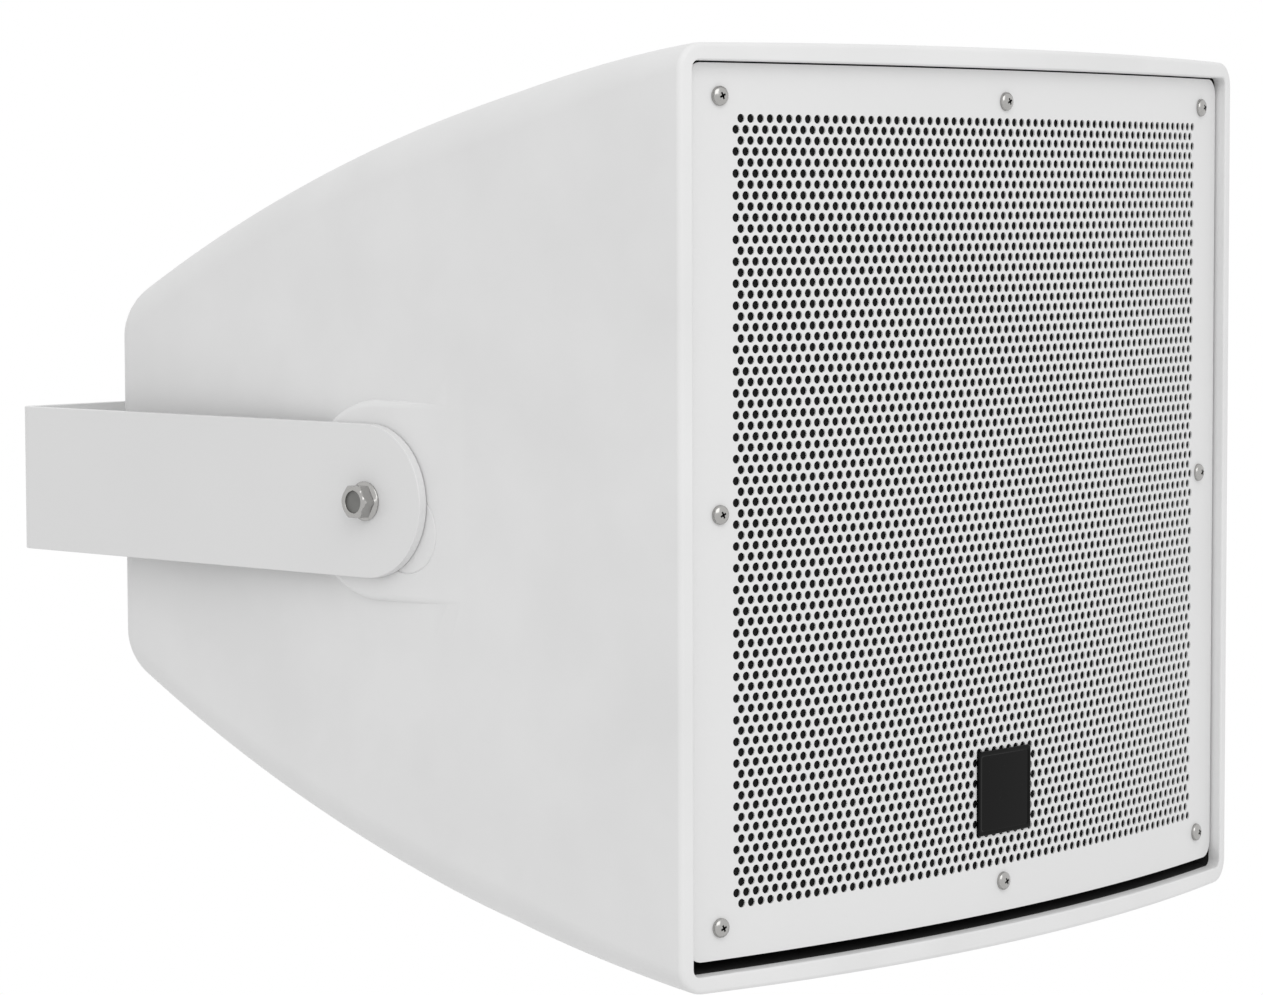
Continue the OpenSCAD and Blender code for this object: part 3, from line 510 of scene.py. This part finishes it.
def skin_ring(d, inset, share):
    w, h = half_w(d + share * bow(HALF_W)) - inset, half_h(d) - inset
    r = max(RIM_R + (EDGE_R - RIM_R) * min(max(d / EDGE_RUN, 0), 1) - inset, LEAST_R)
    deep = [(p, d + share * bow(p.x)) for p in ring(w, h, r)]
    return [(p.x, FRONT + e, p.y * (half_h(e) - inset) / h - lowered(e)) for p, e in deep]


def plain_ring(w, h, r, d, share):
    return [(p.x, FRONT + d + share * bow(p.x), p.y) for p in ring(w, h, r)]


def arc(steps):
    return [QUARTER * k / steps for k in range(steps + 1)]


# %% [markdown]
# The inside comes first, from the hollow's back to just behind the grille, and it is painted
# black, so its rings are counted; where the black comes up to just behind the sheet it is painted
# shade in the gap round the grille. The opening narrows by its draft toward the ledge.

# %% List the stations of the skin
CAVITY_STEPS, DRAFT_STEPS, EDGE_STEPS, SIDE_STEPS = 13, 6, 12, 24
inside = DEPTH - WALL
board_w, board_h = OPEN_W - DRAFT - PLAY, OPEN_H - DRAFT - PLAY
cavity = inside - CAVITY_ROUND - CAVITY_START
side = DEPTH - BACK_ROUND - EDGE_RUN

stations = [skin_ring(inside - CAVITY_ROUND * (1 - math.cos(a)),
                      WALL + CAVITY_ROUND * (1 - math.sin(a)), 0) for a in arc(3)]
stations += [skin_ring(CAVITY_START + k * cavity / CAVITY_STEPS, WALL, 0)
             for k in reversed(range(CAVITY_STEPS))]
stations += [plain_ring(board_w - LEDGE_W, board_h - LEDGE_W, OPEN_R, d, 0)
             for d in (LEDGE + LEDGE_T, LEDGE)]
for k in range(DRAFT_STEPS + 1):
    off = DRAFT * (k / DRAFT_STEPS - 1)
    stations.append(plain_ring(OPEN_W + off, OPEN_H + off, OPEN_R,
                               LEDGE - k * (LEDGE - PAINTED) / DRAFT_STEPS, k / DRAFT_STEPS))
painted_rings = len(stations)
for a in arc(4):
    off = LIP_IN * (1 - math.cos(a))
    stations.append(plain_ring(OPEN_W + off, OPEN_H + off, OPEN_R + off,
                               LIP_IN * (1 - math.sin(a)) - PROUD, 1))
stations += [skin_ring(LIP_OUT * (1 - math.cos(a)) - PROUD, LIP_OUT * (1 - math.sin(a)), 1)
             for a in arc(5)]
stations += [skin_ring(k * EDGE_RUN / EDGE_STEPS, 0, 1 - k / EDGE_STEPS)
             for k in range(1, EDGE_STEPS)]
stations += [skin_ring(EDGE_RUN + k * side / SIDE_STEPS, 0, 0) for k in range(SIDE_STEPS + 1)]
stations += [skin_ring(DEPTH - BACK_ROUND * (1 - math.sin(a)), BACK_ROUND * (1 - math.cos(a)), 0)
             for a in arc(8)[1:]]
print("stations:", len(stations), "with", len(stations[0]), "vertices each")

# %% Extrude the skin from ring to ring
skin_bm = through_rings(stations)
skin_bm.verts.index_update()
# faces of the counted rings take the black inside paint, which near the sheet is painted shade in
# the gap
for face in skin_bm.faces:
    if all(v.index < painted_rings * len(stations[0]) for v in face.verts):
        face.material_index = 1
print("skin faces:", len(skin_bm.faces), "closed:", is_closed(skin_bm))

# %% [markdown]
# ## The side pads
# Each side has a flat pad where the bracket bolts on. It is level with the tilt axis, so it
# stands out of the tapering wall at its back and sinks into it at its front, and on a
# moulding its edges are soft. A disc with a straight run forward is extruded and bevelled, and
# joined to the skin with a Boolean. The seat of the rubber washer and the bore of the insert
# are cut the same way, and so is a fine round line, half under the arm's end, where a plug in
# the mould met its wall. All are made on the upright axis and then turned to both sides.

# %% Set the pads' sizes
AXIS_Y = -277 * MM
PAD_R, PAD_TOP, PAD_SOFT, PAD_RUN, PAD_ROOT = 51 * MM, 215.9 * MM, 4 * MM, 78 * MM, 20 * MM
SEAT_R, SEAT_FLOOR, BORE_R, BORE_FLOOR = 20.5 * MM, 212.5 * MM, 8 * MM, 186.5 * MM
LINE_R, LINE_DEEP, LINE_AHEAD, LINE_BELOW = 20.8 * MM, 0.5 * MM, 24 * MM, 14.8 * MM
OUTSIDE, ROUND_STEPS, PAD_STEPS, MERGE = 240 * MM, 128, 96, 0.01 * MM


# %% Make the pads and the tools for the cuts
def both_sides(bm, verts):
    bmesh.ops.rotate(bm, verts=verts, cent=(0, 0, 0), matrix=Matrix.Rotation(QUARTER, 3, "Y"))
    bmesh.ops.translate(bm, verts=verts, vec=(0, AXIS_Y, 0))
    bmesh.ops.mirror(bm, geom=bm.verts[:] + bm.edges[:] + bm.faces[:], axis="X", merge_dist=-1)
    bmesh.ops.recalc_face_normals(bm, faces=bm.faces)


def round_tool(name, radius, floor):
    bm = bmesh.new()
    made = bmesh.ops.create_cone(bm, cap_ends=True, segments=ROUND_STEPS, radius1=radius,
                                 radius2=radius, depth=OUTSIDE - floor)
    bmesh.ops.translate(bm, verts=made["verts"], vec=(0, 0, (floor + OUTSIDE) / 2))
    both_sides(bm, made["verts"])
    return as_object(name, bm, shell_plastic)


def plug_line():
    bm = bmesh.new()
    bmesh.ops.create_circle(bm, segments=4, radius=LINE_DEEP)
    bmesh.ops.rotate(bm, verts=bm.verts, cent=(0, 0, 0), matrix=Matrix.Rotation(QUARTER, 3, "X"))
    bmesh.ops.translate(bm, verts=bm.verts, vec=(LINE_R, 0, PAD_TOP))
    bmesh.ops.spin(bm, geom=bm.verts[:] + bm.edges[:], cent=(0, 0, 0), axis=(0, 0, 1),
                   angle=2 * math.pi, steps=ROUND_STEPS, use_merge=True)
    bmesh.ops.remove_doubles(bm, verts=bm.verts, dist=MERGE)
    bmesh.ops.translate(bm, verts=bm.verts, vec=(LINE_BELOW, -LINE_AHEAD, 0))
    both_sides(bm, bm.verts)
    return as_object("line_tool", bm, shell_plastic)


def side_pads():
    bm = bmesh.new()
    disc = bmesh.ops.create_circle(bm, cap_ends=True, segments=PAD_STEPS, radius=PAD_R)["verts"]
    for v in disc:
        if v.co.y < -MERGE:
            v.co = (math.copysign(PAD_R, v.co.x) if abs(v.co.x) > MERGE else 0.0, -PAD_RUN, 0)
    bmesh.ops.remove_doubles(bm, verts=bm.verts, dist=MERGE)
    bmesh.ops.translate(bm, verts=bm.verts, vec=(0, 0, PAD_TOP - PAD_ROOT))
    top = new_verts(bmesh.ops.extrude_face_region(bm, geom=bm.faces[:])["geom"])
    bmesh.ops.translate(bm, verts=top, vec=(0, 0, PAD_ROOT))
    crest = [e for e in bm.edges if set(e.verts) <= set(top)]
    bmesh.ops.bevel(bm, geom=crest, offset=PAD_SOFT, segments=5, profile=0.5, affect="EDGES",
                    material=-1)
    both_sides(bm, bm.verts)
    return as_object("pad_tool", bm, shell_plastic)


# %% Join the pads to the skin and cut it
SKIN_MERGE, SKIN_CORNER = 0.005 * MM, 28
skin = finish_piece("cabinet_skin", skin_bm, shell_plastic, "cabinet", "white_shell",
                    "cabinet_shell")
# second material of the skin: black inside paint, also painted shade in the gap round the grille
skin.data.materials.append(inside_paint_and_gap_shade)
cuts = [(side_pads(), "UNION"), (plug_line(), "DIFFERENCE"),
        (round_tool("seat_tool", SEAT_R, SEAT_FLOOR), "DIFFERENCE"),
        (round_tool("bore_tool", BORE_R, BORE_FLOOR), "DIFFERENCE")]
bm = bmesh.new()
bm.from_mesh(with_cuts(skin, cuts))
bmesh.ops.remove_doubles(bm, verts=bm.verts, dist=SKIN_MERGE)
sharpen(bm, SKIN_CORNER)
bm.to_mesh(skin.data)
bm.free()
skin.modifiers.new("even_shading", "WEIGHTED_NORMAL").keep_sharp = True
print("skin with pads:", len(skin.data.polygons), "faces")

# %% [markdown]
# ## The perforated sheet
# The real grille has holes a little over 4 mm wide, 6 mm apart in 73 staggered rows of 63, and
# they are what the eye meets first. The CAD sheet has fewer and larger ones, so the sheet is
# made again with its true pattern. One hole in its own brick of sheet is modelled flat, with a
# six-cornered outline that meets its neighbours' corners in the rows above and below. It is
# repeated along a row, and the row up the sheet. The plain border is extruded from the outline
# of that field, the sheet gets its thickness, and last it is bent round the bow.

# %% Set the grille's sizes
PITCH, HOLE_R, HOLES, ROWS = 6 * MM, 2.18 * MM, 63, 73
RISE = PITCH * math.sin(math.radians(60))
SHEET_W, SHEET_H, SHEET_T, SHEET_R = 2 * ARC, 426 * MM, 0.8 * MM, 9 * MM
LIFT = 2.5 * MM
FIELD_W, FIELD_H = HOLES * PITCH + PITCH / 2, ROWS * RISE
print("field:", round(FIELD_W / MM, 1), "by", round(FIELD_H / MM, 1), "mm,",
      HOLES * ROWS, "holes")


# %% Model one hole, one row and half a sheet
def whole(bm):
    return bm.verts[:] + bm.edges[:] + bm.faces[:]


def copied(bm, geom, vec):
    copy = bmesh.ops.duplicate(bm, geom=geom)["geom"]
    bmesh.ops.translate(bm, verts=new_verts(copy), vec=vec)


def one_row(bm):
    brick = bmesh.ops.create_circle(bm, segments=6, radius=PITCH / 2)["verts"]
    for vertex, (x, z) in zip(brick, ((0, 1), (-1, 1), (-1, -1), (0, -1), (1, -1), (1, 1))):
        vertex.co = (x * PITCH / 2, z * RISE / 2, 0)
    bmesh.ops.create_circle(bm, segments=12, radius=HOLE_R)
    bmesh.ops.bridge_loops(bm, edges=bm.edges[:])
    hole = whole(bm)
    bmesh.ops.translate(bm, verts=bm.verts, vec=(-(HOLES - 1) / 2 * PITCH, 0, 0))
    for k in range(1, HOLES):
        copied(bm, hole, (k * PITCH, 0, 0))
    bmesh.ops.remove_doubles(bm, verts=bm.verts, dist=MERGE)


def flat_field(rows):
    bm = bmesh.new()
    one_row(bm)
    row = whole(bm)
    for j in rows:
        shift = 1 if j % 2 == 0 else -1
        place = Vector((shift * PITCH / 4, (j - (ROWS - 1) / 2) * RISE, 0))
        copied(bm, row, place)
        stub = bmesh.ops.create_grid(bm, x_segments=1, y_segments=1, size=0.5)["verts"]
        bmesh.ops.scale(bm, verts=stub, vec=(PITCH / 2, RISE, 1))
        bmesh.ops.translate(bm, verts=stub, vec=(-shift * (FIELD_W - PITCH / 2) / 2, place.y, 0))
    bmesh.ops.delete(bm, geom=row, context="VERTS")
    bmesh.ops.remove_doubles(bm, verts=bm.verts, dist=MERGE)
    return bm


# %% [markdown]
# The border is one extrusion of the field's outer edge. Each new vertex goes to its place on the
# sheet's outline: along the straight for most of a side, and round the corner's arc for the last
# eighth of it, which puts enough of them on the arc to make it round.

# %% Extrude the border, thicken the sheet and bend it
STRAIGHT_SHARE, NEAR, HOLE_EDGE = 0.88, 0.02 * MM, 40


def on_outline(share, straight, corner_x, corner_y):
    if share <= STRAIGHT_SHARE:
        return straight * share / STRAIGHT_SHARE, corner_y + SHEET_R
    a = QUARTER / 2 * (share - STRAIGHT_SHARE) / (1 - STRAIGHT_SHARE)
    return corner_x + SHEET_R * math.sin(a), corner_y + SHEET_R * math.cos(a)


def extrude_border(bm):
    half_x, half_y = FIELD_W / 2, FIELD_H / 2
    outer = [e for e in bm.edges if e.is_boundary and (
        all(abs(abs(v.co.x) - half_x) < NEAR for v in e.verts)
        or all(abs(abs(v.co.y) - half_y) < NEAR for v in e.verts))]
    out = bmesh.ops.extrude_edge_only(bm, edges=outer)["geom"]
    straight_x, straight_y = SHEET_W / 2 - SHEET_R, SHEET_H / 2 - SHEET_R
    for v in new_verts(out):
        x, y = abs(v.co.x), abs(v.co.y)
        if y > half_y - NEAR:
            px, py = on_outline(x / half_x, straight_x, straight_x, straight_y)
        else:
            py, px = on_outline(y / half_y, straight_y, straight_y, straight_x)
        v.co = (math.copysign(px, v.co.x), math.copysign(py, v.co.y), 0)


def bend(bm, lift):
    for v in bm.verts:
        round_bow, radius = v.co.x / BOW_R, BOW_R + v.co.z
        v.co = (radius * math.sin(round_bow), FRONT + BOW_R - radius * math.cos(round_bow),
                v.co.y + lift)


def perforated_half(name, rows):
    bm = flat_field(rows)
    extrude_border(bm)
    bmesh.ops.recalc_face_normals(bm, faces=bm.faces)
    if bm.faces[0].normal.z < 0:
        bmesh.ops.reverse_faces(bm, faces=bm.faces)
    bmesh.ops.solidify(bm, geom=bm.faces[:], thickness=SHEET_T)
    highest = max(v.co.z for v in bm.verts)
    bmesh.ops.translate(bm, verts=bm.verts, vec=(0, 0, -highest))
    bend(bm, LIFT)
    bmesh.ops.recalc_face_normals(bm, faces=bm.faces)
    sharpen(bm, HOLE_EDGE)
    print(name, "closed:", is_closed(bm))
    finish_piece(name, bm, grille_coat, "cabinet", "white_grille_coat", "grille")


perforated_half("grille_sheet_lower", range(0, 37))
perforated_half("grille_sheet_upper", range(37, ROWS))

# %% [markdown]
# ## The badge
# A square black badge sits low on the grille. This one is bare: a moulded plate with a soft
# edge, a raised frame 1.6 mm wide and a panel sunk 0.3 mm into it, in polished black. It
# is a stack of rings again, laid flat and bent with the sheet.

# %% Make the badge
BADGE, BADGE_T, BADGE_SOFT, BADGE_LOW = 21.5 * MM, 1.6 * MM, 0.5 * MM, 151 * MM
BADGE_R, PANEL_R, BADGE_CORNER = 2 * MM, 0.4 * MM, 35
PANEL_IN, PANEL_SUNK, PANEL_STEP = 2.5 * MM, 0.3 * MM, 3.6 * MM


def polished_abs():
    smear_size = 0.008
    m, place = new_material("polished_abs_black")
    smear = add(m, "ShaderNodeTexNoise", {"Scale": 1 / smear_size, "Detail": 3.0},
                {"Vector": place})
    gloss = add(m, "ShaderNodeMapRange", {"To Min": 0.06, "To Max": 0.16},
                {"Value": smear.outputs["Fac"]})
    swell = add(m, "ShaderNodeBump", {"Strength": 0.15, "Distance": 0.0001},
                {"Height": smear.outputs["Fac"]})
    return output(m, add(m, "ShaderNodeBsdfPrincipled",
                         {"Base Color": linear("#070707"), "IOR": 1.53,
                          "Specular IOR Level": 0.08},
                         {"Roughness": gloss.outputs["Result"],
                          "Normal": swell.outputs["Normal"]}))


def badge_ring(off, high):
    corner = max(BADGE_R - off * 0.2, PANEL_R)
    return [(p.x, p.y, high) for p in ring(BADGE - off, BADGE - off, corner)]


panel = BADGE_T - PANEL_SUNK
steps = [(0, 0), (0, BADGE_T - BADGE_SOFT)]
steps += [(BADGE_SOFT * (1 - math.cos(a)), BADGE_T - BADGE_SOFT * (1 - math.sin(a)))
          for a in arc(4)[1:]]
steps += [(PANEL_IN - 0.4 * MM, BADGE_T), (PANEL_IN - 0.2 * MM, BADGE_T - 0.1 * MM)]
steps += [(PANEL_IN + k * PANEL_STEP, panel) for k in range(6)]
bm = through_rings([badge_ring(*step) for step in steps])
bend(bm, LIFT - BADGE_LOW)
sharpen(bm, BADGE_CORNER)
badge_black = polished_abs()
finish_piece("badge", bm, badge_black, "cabinet", "badge_black", "badge_plate")

# %% [markdown]
# ## The screws and the flange bolts
# Heads are what a bolt shows, and they are turned or pressed: a low dome with a cross recess
# for the grille's pan head screws, and for the two M10 bolts a slanting flange, a hexagon with
# chamfered corners and a round pocket. Both are stacks of rings. The recess is cut with two
# tapered bars, and their own near-black material comes with the cut, as painted shade in the
# recess. The pocket's floor keeps the dull grey of the rolled blank.

# %% Make one screw
SCREW_R, HEAD_R, HEAD_H, GRIP, SCREW_STEPS = 2.5 * MM, 4.7 * MM, 3 * MM, 12 * MM, 32
CROSS_BAR, CROSS_TAPER, CROSS_TURNS = (4.4 * MM, 1.1 * MM, 2.2 * MM), (0.4, 0.7, 1), (25, 115)
CROSS_HEIGHT = HEAD_H - 0.5 * MM


def circle_ring(radius, high, steps):
    turns = [2 * math.pi * k / steps for k in range(steps)]
    return [(radius * math.cos(a), radius * math.sin(a), high) for a in turns]


profile = [(SCREW_R, -GRIP), (SCREW_R, 0), (HEAD_R, 0)]
profile += [(HEAD_R * math.sin(a), HEAD_H * (0.25 + 0.75 * math.cos(a)))
            for a in reversed(arc(7)[1:])]
screw_bm = through_rings([circle_ring(radius, high, SCREW_STEPS) for radius, high in profile])
one_screw = as_object("one_screw", screw_bm, stainless)
bars = []
for degrees in CROSS_TURNS:
    bm = bmesh.new()
    bar = bmesh.ops.create_cube(bm, size=1)["verts"]
    bmesh.ops.scale(bm, verts=bar, vec=CROSS_BAR)
    bmesh.ops.scale(bm, verts=[v for v in bar if v.co.z < 0], vec=CROSS_TAPER)
    bmesh.ops.rotate(bm, verts=bar, cent=(0, 0, 0),
                     matrix=Matrix.Rotation(math.radians(degrees), 3, "Z"))
    bmesh.ops.translate(bm, verts=bar, vec=(0, 0, CROSS_HEIGHT))
    # the bars carry the painted-shade material into the recess they cut
    bars.append((as_object(f"bar_{degrees}", bm, painted_recess_shade), "DIFFERENCE"))
screw_mesh = with_cuts(one_screw, bars)
bpy.data.objects.remove(one_screw)

# %% Set eight of them round the grille
SCREW_SPAN, SCREW_CORNER = 197.5 * MM, 35
bm = bmesh.new()
for across, up in ((a, b) for a in (-1, 0, 1) for b in (-1, 0, 1) if (a, b) != (0, 0)):
    before = len(bm.verts)
    bm.from_mesh(screw_mesh)
    verts = bm.verts[before:]
    forward = Matrix.Rotation(QUARTER, 3, "X")
    round_bow = Matrix.Rotation(across * SCREW_SPAN / BOW_R, 3, "Z")
    bmesh.ops.rotate(bm, verts=verts, cent=(0, 0, 0), matrix=forward)
    bmesh.ops.translate(bm, verts=verts, vec=(0, -BOW_R, 0))
    bmesh.ops.rotate(bm, verts=verts, cent=(0, 0, 0), matrix=round_bow)
    bmesh.ops.translate(bm, verts=verts, vec=(0, FRONT + BOW_R, LIFT + up * SCREW_SPAN))
sharpen(bm, SCREW_CORNER)
screws = finish_piece("grille_screw_heads", bm, stainless, "cabinet", "stainless_steel",
                      "grille_screws")
# second material of the screws: the painted shade in their recesses
screws.data.materials.append(painted_recess_shade)
print("materials on the screws:", [m.name for m in screws.data.materials])

# %% Make the flange bolts
HEX, HEX_LIMIT, HEX_FOOT, BOLT_H, ARM_FACE = 16 * MM, 9.3 * MM, 2.3 * MM, 9 * MM, 221.5 * MM
CHAMFER_IN, CHAMFER_H, CHAMFER_STEPS, BOLT_STEPS, BOLT_CORNER = 1.5 * MM, 1.8 * MM, 3, 72, 25
SHANK_AND_FLANGE = ((5, -31), (5, 0), (9.7, 0), (10, 0.3), (10, 0.9), (9.7, 1.3))
TOP_AND_POCKET = ((7, 9), (5.9, 9), (5.6, 8.7), (5.6, 7.8))


def hex_ring(limit, high):
    places = []
    for x, y, z in circle_ring(1, high, BOLT_STEPS):
        off = (math.degrees(math.atan2(y, x)) + 30) % 60 - 30
        reach = min(HEX / 2 / math.cos(math.radians(off)), limit)
        places.append((x * reach, y * reach, z))
    return places


def bolt_circles(profile):
    return [circle_ring(radius * MM, high * MM, BOLT_STEPS) for radius, high in profile]


chamfer = [hex_ring(HEX_LIMIT - CHAMFER_IN * (k / CHAMFER_STEPS) ** 2,
                    BOLT_H - CHAMFER_H * (1 - k / CHAMFER_STEPS))
           for k in range(CHAMFER_STEPS + 1)]
bm = through_rings(bolt_circles(SHANK_AND_FLANGE) + [hex_ring(HEX_LIMIT, HEX_FOOT)] + chamfer
                   + bolt_circles(TOP_AND_POCKET))
for face in bm.faces:
    if len(face.verts) == BOLT_STEPS and face.calc_center_median().z > 0:
        face.material_index = 1
bmesh.ops.translate(bm, verts=bm.verts, vec=(0, 0, ARM_FACE))
both_sides(bm, bm.verts)
sharpen(bm, BOLT_CORNER)
bolts = finish_piece("flange_bolts", bm, stainless, "cabinet", "stainless_steel", "pivot_bolts")
bolts.data.materials.append(rolled_grey)

# %% [markdown]
# ## The bracket's soft edges
# Powder coat rounds the edges of a cut steel bar, and that thin bright line tells the eye that it
# is coated. The CAD bracket has the right shape with knife edges, so a merged copy of it
# takes a Bevel of 0.7 mm on every edge sharper than 40 degrees.

# %% Round the edges of the bracket
BAR_SOFT, BAR_CORNER, BAR_FLAT, BAR_MERGE = 0.7 * MM, 40, 0.2, 0.002 * MM
bm = bmesh.new()
bm.from_mesh(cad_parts["wall_bracket"].data)
bmesh.ops.remove_doubles(bm, verts=bm.verts, dist=BAR_MERGE)
bmesh.ops.dissolve_limit(bm, angle_limit=math.radians(BAR_FLAT), verts=bm.verts, edges=bm.edges)
sharpen(bm, BAR_CORNER)
bracket = finish_piece("bracket_coated", bm, bracket_coat, "bracket", "white_powder_coat",
                       "wall_bracket")
soft = bracket.modifiers.new("soft_edges", "BEVEL")
soft.width, soft.segments = BAR_SOFT, 3
soft.limit_method, soft.angle_limit = "ANGLE", math.radians(BAR_CORNER)
bracket.modifiers.new("even_shading", "WEIGHTED_NORMAL").keep_sharp = True

# %% [markdown]
# ## Finishes on the CAD nodes
# The rest of the part shows the CAD solids themselves. Each gets the finish that its real piece
# has, and the names of any that were missed are printed.

# %% Give every CAD node its finish
finishes = {
    stainless: ("grille_screws", "input_screws", "pivot_bolts"),
    zinc_steel: ("grille_standoffs", "top_plate", "pole_piece"),
    black_oxide: ("baffle_screws", "driver_screws"),
    turned_brass: ("pivot_inserts",),
    cast_aluminium: ("driver_basket",),
    copper_winding: ("voice_coil", "filter_coil"),
    foam: ("grille_foam",),
    rubber: ("pivot_washers", "baffle_gasket", "driver_gasket", "input_gasket", "gland_seal"),
    black_abs: ("port_tubes", "cable_gland", "gland_cap_nut", "gland_lock_nut"),
    cream_nylon: ("terminal_strip",),
    paper_pulp: ("cone", "dust_cap"),
    laminate: ("driver_terminals",),
    circuit_laminate: ("filter_board",),
    sleeve_plastic: ("filter_capacitors",),
    wire_pvc: ("speaker_wires",),
    ferrite: ("ring_magnet",),
    plywood: ("baffle_board",),
    surround_cloth: ("surround",),
    spider_cloth: ("spider",),
    bracket_coat: ("input_plate", "wall_bracket"),
    grille_coat: ("grille",),
    shell_plastic: ("cabinet_shell",),
    badge_black: ("badge_plate",),
}
missing = set(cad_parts)
for material, names in finishes.items():
    for name in names:
        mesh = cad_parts[name].data
        mesh.materials.clear()
        mesh.materials.append(material)
        missing.discard(name)
print("nodes without a finish:", sorted(missing))
